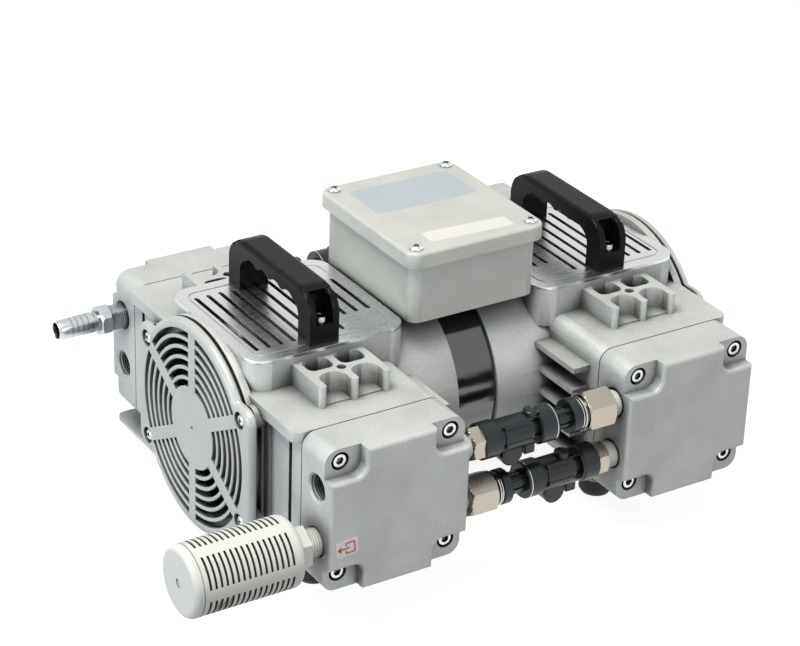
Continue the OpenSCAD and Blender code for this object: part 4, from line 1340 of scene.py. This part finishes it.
@dataclass
class Coupling:
    """Quick coupling between two nuts, built along Z with its top towards X, in millimetres."""

    body_r: float = 11.9
    collar_r: float = 13.2
    small_flats: float = 22.0
    big_flats: float = 27.0

    def sunk(self, floor: float, low: float, high: float) -> Outline:
        """Outline of the body with a recess on both sides.

        Args:
            floor: Radius at the bottom of the recess.
            low: Height in degrees above the middle at which the recess begins.
            high: Height in degrees at which it ends.

        Returns:
            The radius as a function of the angle.
        """
        return lambda a: floor if low < math.degrees(math.asin(math.cos(a))) < high else self.body_r

    @staticmethod
    def grooved(a: float) -> float:
        """Outline of the sleeve's neck with its eight grooves.

        Args:
            a: Direction.

        Returns:
            The radius there.
        """
        return 7.1 if abs((math.degrees(a) + 22.5) % 45 - 22.5) < 7 else 8.1

    def profile(self, turned_round: bool) -> list[Ring]:
        """Rings of the socket, the plug and the sleeve.

        Args:
            turned_round: Whether the latch lies at the end of the small nut.

        Returns:
            The rings from one end to the other.
        """
        body, collar = self.body_r, self.collar_r
        pocket, tongue = self.sunk(10.1, -20, 55), self.sunk(10.9, -9, 43)
        slot = self.sunk(7.6, -28, 58)
        near, long = 31.5, 31.5
        window = [(0.0, body), (0.0, pocket), (3.0, pocket), (3.0, tongue), (24.0, tongue),
                  (24.0, pocket), (26.5, pocket), (26.5, slot), (long, slot), (long, body)]
        if turned_round:
            window = [(long - h, w) for h, w in reversed(window)]
        return [(17.2, 0), (17.2, 12.3), (18.0, collar), (29.2, collar), (30.0, 12.5),
                (30.3, body), *((near + h, w) for h, w in window), (63.6, body), (63.8, 12.6),
                (64.6, 13.4), (76.6, 13.4), (77.4, 12.6), (77.4, 8.1), (78.6, 8.1),
                (78.6, self.grooved), (90.4, self.grooved), (90.4, 9.2), (90.6, 12.0),
                (91.2, 12.6), (96.8, 12.6), (97.4, 12.0), (97.4, 9.4), (102.9, 9.4), (102.9, 0)]

    def socket(self, turned_round: bool) -> list[Mesh]:
        """Builds the socket, the plug and the sleeve, with latch, boss and button.

        Args:
            turned_round: Whether the latch lies at the end of the small nut.

        Returns:
            The closed shapes of the coupling.
        """
        middle, tab, press = (51.0, 35.6, 43.0) if turned_round else (43.5, 59.2, 60.5)
        aside, lift = (Matrix.Rotation(math.radians(90), 4, axis) for axis in "XY")
        boss = turned([(-6.0, 0), (-6.0, 7.6), (-5.2, 8.4), (5.2, 8.4), (6.0, 7.6), (6.0, 0)], 48,
                      Matrix.Translation((-14.6, 0, middle)) @ aside)
        button = turned([(10.5, 0), (10.5, 5.6), (13.4, 5.6), (14.2, 4.8), (14.4, 3.6),
                         (13.9, 2.8), (13.9, 0)], 48, Matrix.Translation((0, 0, press)) @ lift)
        block = bmesh.new()
        bmesh.ops.create_cube(block, size=1.0)
        bmesh.ops.scale(block, vec=(9.0, 7.6, 8.6), verts=block.verts)
        bmesh.ops.bevel(block, geom=block.edges[:], offset=0.7, segments=2, affect="EDGES")
        return [turned(self.profile(turned_round), 144), boss, button,
                finished_mesh(block, Matrix.Translation((-14.4, 0, tab)))]

    def nuts(self) -> list[Mesh]:
        """Builds both nuts with the threads that go into the heads.

        Returns:
            The closed shapes of the nuts.
        """
        long, r = 2 * INNER_WALL, SHANK_R
        shafts = [[(-12.0, 0), (-12.0, 9.5), (0.2, 9.5), (0.2, r), (8.4, r), (8.4, 0)],
                  [(99.6, 0), (99.6, 10.4), (103.4, 10.4), (103.4, 0)],
                  [(long - 7.4, 0), (long - 7.4, r), (long - 0.2, r), (long - 0.2, 9.5),
                   (long + 12, 9.5), (long + 12, 0)]]
        return [*(turned(rings, 64) for rings in shafts),
                hexagon_nut(self.small_flats, 8.0, 17.0, round_high=False),
                hexagon_nut(self.big_flats, 103.0, long - 7.0, round_high=True)]

    def build(self) -> None:
        """Makes the four couplings with their nuts."""
        for end, row in zip(ENDS, SIGNS):
            for level, up in zip(LEVELS, (1, -1)):
                sign = 1 if row * up < 0 else -1
                turn = Matrix(((0, 0, sign), (0, -sign, 0), (1, 0, 0))).to_4x4()
                spot = pump_point(-sign * INNER_WALL, row * PORT_Y, up * PORT_Z)
                lay = Matrix.Translation(spot) @ turn @ TO_METRES
                body = joined(self.socket(level == "lower"))
                body.transform(lay)
                place(body, f"quick_coupling_{end}_{level}", COUPLING_ACETAL, "pump",
                      FINE_CORNER_DEG, stands_for=[f"coupler_{end}_{level}"])
                pair = joined(self.nuts())
                pair.transform(lay)
                place(pair, f"hexagon_nuts_{end}_{level}", NICKEL_BRASS, "pump",
                      FINE_CORNER_DEG, stands_for=[f"nuts_{end}_{level}"])


@dataclass(frozen=True)
class Plate:
    """Bare plate with round corners: sizes and seat in millimetres, tilt in degrees."""

    name: str
    finish: Finish
    wide: float
    high: float
    thick: float
    corner: float
    axis: Axis
    seat: tuple[float, float, float]
    tilt: float = 0.0

    EDGE: ClassVar[float] = 0.06

    def lay(self) -> Matrix:
        """Returns the matrix that lays the plate on its seat."""
        tilt = Matrix.Rotation(math.radians(self.tilt), 4, "Z")
        return laid(self.axis, pump_point(*self.seat)) @ tilt

    def build(self) -> None:
        """Makes the plate."""
        wide, high = self.wide / 2, self.high / 2
        outline = rounded_frame(high, wide, self.corner)
        inner = rounded_frame(high - self.EDGE, wide - self.EDGE, self.corner)
        rings = [(0.0, 0), (0.0, outline), (self.thick * 0.6, outline), (self.thick, inner),
                 (self.thick, 0)]
        place(turned(rings, 96, self.lay()), self.name, self.finish, "pump")


RATING_PLATE = Plate("rating_plate", PLATE_FOIL, 83, 42, 0.16, 1.0, Axis.UP, (1.2, 26.5, LID_TOP))
LID_STRIP = Plate("lid_film", LID_FILM, 67, 15.5, 0.12, 1.0, Axis.UP, (1.8, -44.4, LID_TOP), -3)
FLOW_PLATE = Plate("flow_plate", LABEL_FILM, 16.6, 12.8, 0.12, 0.8, Axis.FRONT,
                   (-161.7, -PANEL_Y, -19.3), 4)


def flow_arrow(plate: Plate) -> None:
    """Prints the plain arrow on its plate: bars of the sign, and the arrow's head.

    Args:
        plate: What it is printed on.
    """
    shape = bmesh.new()
    bars = [(-1.8, 0.0, 7.6, 1.1), (2.6, 3.9, 7.6, 1.0), (2.6, -3.9, 7.6, 1.0),
            (5.9, 0.0, 1.0, 7.0), (-0.7, 2.7, 1.0, 1.6), (-0.7, -2.7, 1.0, 1.6)]
    for x, y, long, tall in bars:
        bar = Matrix.Translation((x, y, 0.16)) @ Matrix.Diagonal((long, tall, 0.05, 1))
        bmesh.ops.create_cube(shape, size=1.0, matrix=bar)
    corners = ((-7.6, 0), (-4.4, -2.6), (-4.4, 2.6))
    head, foot = ([shape.verts.new((x, y, z)) for x, y in corners] for z in (0.18, 0.13))
    shape.faces.new(head)
    shape.faces.new(list(reversed(foot)))
    for i in range(3):
        shape.faces.new((head[i], foot[i], foot[(i + 1) % 3], head[(i + 1) % 3]))
    bmesh.ops.recalc_face_normals(shape, faces=shape.faces)
    place(finished_mesh(shape, plate.lay()), "flow_arrow", RED_PRINT, "pump")


@dataclass
class Pipework:
    """Threads of the ports, tape, rings, hose tail and the silencer's inside."""

    grower: Grower
    port_r: float = 9.7
    port_sink: float = 1.9
    port_depth: float = 13.6
    port_ridge: float = 0.75
    tape_start: float = 0.2
    tape_pitch: float = 1.5
    tape_ridge: float = 0.95
    tape_lengths: tuple[float, float] = (6.6, 5.4)
    tail_flats: float = 21.0
    tail_pitch: float = 1.4
    tail_length: float = 11.0
    tail_ridge: float = 0.55
    tail_rings: int = 4
    felt: tuple[float, float, float, float] = (5.5, 74.5, 19.8, 21.8)
    neck_start: float = 92.6
    neck_r: float = 9.6
    neck_length: float = 9.0
    neck_ridge: float = 0.85

    def port_threads(self) -> None:
        """Threads in the ports that nothing is screwed into."""
        mouths = [(-1, -1, 1), (-1, 1, -1), *((1, row, up) for row, up in FOUR)]
        parts = []
        for sign, row, up in mouths:
            start = pump_point(sign * (OUTER_WALL - self.port_sink), row * PORT_Y, up * PORT_Z)
            parts.append(self.grower.thread(self.port_r, THREAD_PITCH, self.port_depth,
                                            self.port_ridge, outward(-sign), start,
                                            BLASTED_CASTING))
        place(joined(parts), "port_threads", BLASTED_CASTING, "pump")

    def coupling_ends(self) -> list[tuple[int, int, int]]:
        """Returns side, row and height of each coupling's small hexagon, as signs."""
        return [(-1, -1, 1), (1, -1, -1), (1, 1, 1), (-1, 1, -1)]

    def taped_threads(self) -> None:
        """White tape wound on the threads next to the heads."""
        parts = []
        for sign, row, up in product(SIGNS, repeat=3):
            start = pump_point(sign * (INNER_WALL - self.tape_start), row * PORT_Y, up * PORT_Z)
            small, big = self.tape_lengths
            length = small if (sign, row, up) in self.coupling_ends() else big
            parts.append(self.grower.thread(SHANK_R, self.tape_pitch, length, self.tape_ridge,
                                            outward(-sign), start, THREAD_TAPE))
        place(joined(parts), "thread_tape_wraps", THREAD_TAPE, "pump", TAPE_CORNER_DEG)

    def bright_rings(self) -> None:
        """Steel rings of the couplings: one at the socket's mouth, two before the nut."""
        parts = []
        for sign, row, up in self.coupling_ends():
            lay = laid(outward(-sign), pump_point(sign * INNER_WALL, row * PORT_Y, up * PORT_Z))
            for near, far, inner, outer in ((75.0, 76.0, 12.8, 13.55), (98.2, 99.2, 9.0, 12.0),
                                            (100.0, 101.2, 9.0, 12.4)):
                rings = [(near, inner), (near, outer - 0.3), (near + 0.3, outer),
                         (far - 0.3, outer), (far, outer - 0.3), (far, inner), (near, inner)]
                parts.append(turned(rings, 64, lay))
        place(joined(parts), "coupling_rings", ZINC_STEEL, "pump")

    def hose_tail(self) -> None:
        """Hose tail screwed into the left rear head: thread, hexagon and ringed tube."""
        low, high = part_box("hose_tail")
        middle = (low[1] + high[1]) / 2, (low[2] + high[2]) / 2
        start = Vector((CENTRE.x - OUTER_WALL * MM, *middle))
        lay = laid(Axis.LEFT, start)
        tip = (start.x - low[0]) / MM
        shank = [(-10.0, 0), (-10.0, 9.4), (0.0, 9.4), (0.0, SHANK_R), (12.4, SHANK_R), (12.4, 0)]
        tube: list[Ring] = [(20.4, 0), (20.4, 7.3), (24.6, 7.3), (25.6, 8.0)]
        for i in range(self.tail_rings):
            near, radius = 30.0 + 4.2 * i, 7.95 - 0.12 * i
            tube += [(near, radius), (near + 0.3, radius - 0.5), (near + 1.1, radius - 0.5),
                     (near + 1.4, radius - 0.05)]
        tube += [(tip - 4.0, 7.3), (tip - 0.8, 6.9), (tip, 6.5), (tip, 6.1), (tip - 0.9, 5.9),
                 (tip - 24.0, 5.9), (tip - 24.0, 0)]
        nut = hexagon_nut(self.tail_flats, 12.0, 21.0, round_high=True)
        nut.transform(lay)
        parts = [turned(shank, 96, lay), turned(tube, 96, lay), nut,
                 self.grower.thread(SHANK_R, self.tail_pitch, self.tail_length, self.tail_ridge,
                                    Axis.LEFT, start, ZINC_STEEL)]
        place(joined(parts), "ringed_hose_tail", ZINC_STEEL, "pump", GRILLE_CORNER_DEG,
              stands_for=["hose_tail"])

    def silencer_inside(self) -> None:
        """Felt sleeve behind the silencer's slots, and the thread of its neck."""
        low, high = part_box("silencer")
        start = Vector((low[0], (low[1] + high[1]) / 2, (low[2] + high[2]) / 2))
        near, far, inner, outer = self.felt
        rings = [(near, inner), (near, outer), (far, outer), (far, inner), (near, inner)]
        place(turned(rings, 64, laid(Axis.RIGHT, start)), "silencer_felt", GREY_FELT, "pump")
        neck = start + Vector((self.neck_start, 0, 0)) * MM
        place(self.grower.thread(self.neck_r, THREAD_PITCH, self.neck_length,
                                 self.neck_ridge, Axis.RIGHT, neck, IVORY_PLASTIC),
              "silencer_thread", IVORY_PLASTIC, "pump")

    def build(self) -> None:
        """Makes all pieces of the pipework."""
        self.port_threads()
        self.taped_threads()
        self.bright_rings()
        self.hose_tail()
        self.silencer_inside()


@dataclass
class Studio:
    """Floor, lamps, world and the camera at the photograph's view."""

    image: tuple[int, int] = (800, 646)
    focal_px: float = 2549.63
    azimuth: float = 33.11
    elevation: float = 27.19
    roll: float = 2.14
    centre_px: tuple[float, float] = (407.22, 322.03)
    distance: float = 1964.05
    slide: tuple[float, float] = (13.57, -33.52)
    scale: float = 0.95
    sensor: float = 36.0
    far: float = 20.0
    aim: tuple[float, float, float] = (0, 0, 0.08)
    floor_reach: float = 3.0
    floor_height: float = -0.0004
    floor_glow: float = 0.88
    world_light: float = 0.24

    def camera(self) -> None:
        """Sets the camera up as the lines of the photograph gave it."""
        az, el = math.radians(self.azimuth), math.radians(self.elevation)
        roll = math.radians(self.roll)
        back = Vector((-math.sin(az) * math.cos(el), -math.cos(az) * math.cos(el), math.sin(el)))
        right = Vector((0, 0, 1)).cross(back).normalized()
        up = back.cross(right)
        side = math.cos(roll) * right + math.sin(roll) * up
        top = -math.sin(roll) * right + math.cos(roll) * up
        spot = (back * self.distance - side * self.slide[0] - top * self.slide[1]) * self.scale
        data = bpy.data.cameras.new("view")
        data.sensor_width = self.sensor
        data.lens = self.focal_px / self.image[0] * self.sensor
        data.shift_x = (self.image[0] / 2 - self.centre_px[0]) / self.image[0]
        data.shift_y = (self.centre_px[1] - self.image[1] / 2) / self.image[0]
        data.clip_end = self.far
        camera = linked("view", data)
        turn = Matrix((side, top, back)).transposed().to_4x4()
        camera.matrix_world = Matrix.Translation(CENTRE + spot * MM) @ turn
        bpy.context.scene.camera = camera

    def lamp(self, name: str, spot: Sequence[float], size: float, power: float,
             tint: str = "#FFFFFF") -> None:
        """Hangs one soft square lamp that looks at the pump.

        Args:
            name: Name of the lamp.
            spot: Where it hangs, in metres.
            size: Side of its square.
            power: Watts.
            tint: Colour of its light.
        """
        data = bpy.data.lights.new(name, "AREA")
        data.color = linear(tint)[:3]
        data.size = size
        data.energy = power
        lamp = linked(name, data)
        lamp.location = spot
        lamp.rotation_euler = (Vector(spot) - Vector(self.aim)).to_track_quat("Z", "Y").to_euler()

    @staticmethod
    def white_for_eyes(tree: NodeTree, plain: Source, white: Source) -> Node:
        """Mixes to plain white where the camera, a reflection or glass looks.

        Args:
            tree: Tree of the floor or the world.
            plain: Shader that other rays meet.
            white: Shader that the eye meets.

        Returns:
            The node that mixes them.
        """
        path = add_node(tree, "ShaderNodeLightPath")
        eye = path.outputs["Is Camera Ray"]
        for ray in ("Is Glossy Ray", "Is Transmission Ray"):
            eye = add_node(tree, "ShaderNodeMath", {0: eye, 1: path.outputs[ray]},
                           operation="MAXIMUM")
        return add_node(tree, "ShaderNodeMixShader", {0: eye, 1: plain, 2: white})

    def world(self) -> None:
        """Plain pale world, white to the eye."""
        world = bpy.data.worlds.new("studio")
        world.use_nodes = True
        tree = world.node_tree
        tree.nodes.clear()
        plain = add_node(tree, "ShaderNodeBackground", None,
                         {"Color": linear("#F0F3F6"), "Strength": self.world_light})
        white = add_node(tree, "ShaderNodeBackground", None,
                         {"Color": (1, 1, 1, 1), "Strength": 1.0})
        seen = self.white_for_eyes(tree, plain, white)
        add_node(tree, "ShaderNodeOutputWorld", {0: seen})
        bpy.context.scene.world = world

    def floor(self) -> None:
        """Pale floor that keeps the shadow of the pump."""
        shape = bmesh.new()
        bmesh.ops.create_grid(shape, x_segments=1, y_segments=1, size=self.floor_reach)
        mesh = finished_mesh(shape, Matrix.Translation((0, 0, self.floor_height)))
        made = bpy.data.materials.new("pale_floor")
        made.use_nodes = True
        tree = made.node_tree
        tree.nodes.clear()
        base = add_node(tree, "ShaderNodeBsdfDiffuse", None, {"Color": linear("#747678")})
        paper = add_node(tree, "ShaderNodeBsdfDiffuse", None, {"Color": linear("#A8A8A8")})
        glow = add_node(tree, "ShaderNodeEmission", None,
                        {"Color": (1, 1, 1, 1), "Strength": self.floor_glow})
        lit = add_node(tree, "ShaderNodeAddShader", {0: paper, 1: glow})
        seen = self.white_for_eyes(tree, base, lit)
        add_node(tree, "ShaderNodeOutputMaterial", {0: seen})
        mesh.materials.append(made)
        floor = linked("floor", mesh)

    def build(self) -> None:
        """Sets up the whole studio."""
        bpy.context.scene.view_settings.view_transform = "Standard"
        self.world()
        self.floor()
        self.lamp("key", (-0.5, -0.2, 1.6), 0.8, 25.0, "#FFFBF1")
        self.lamp("front", (0.1, -1.7, 0.7), 0.7, 6.0)
        self.lamp("side", (-1.7, 0.1, 0.38), 0.7, 13.0, "#E4EEF6")
        self.lamp("rim", (1.7, -0.1, 0.9), 0.8, 5.0)
        self.camera()


def main() -> None:
    """Builds the parts of the pump in order, then the studio."""
    logging.basicConfig(level=logging.INFO, format="%(name)s: %(message)s")
    grower = Grower()
    Castings(grower).dress()
    Insides().dress()
    Trim(grower).dress()
    Screws(grower).build()
    for side, sign in zip(SIDES, SIGNS):
        FanWheel(grower).build(side, sign)
        FanCover().build(side, sign)
    Pipework(grower).build()
    Coupling().build()
    for plate in (RATING_PLATE, LID_STRIP, FLOW_PLATE):
        plate.build()
    flow_arrow(FLOW_PLATE)
    Studio().build()


if __name__ == "__main__":
    main()
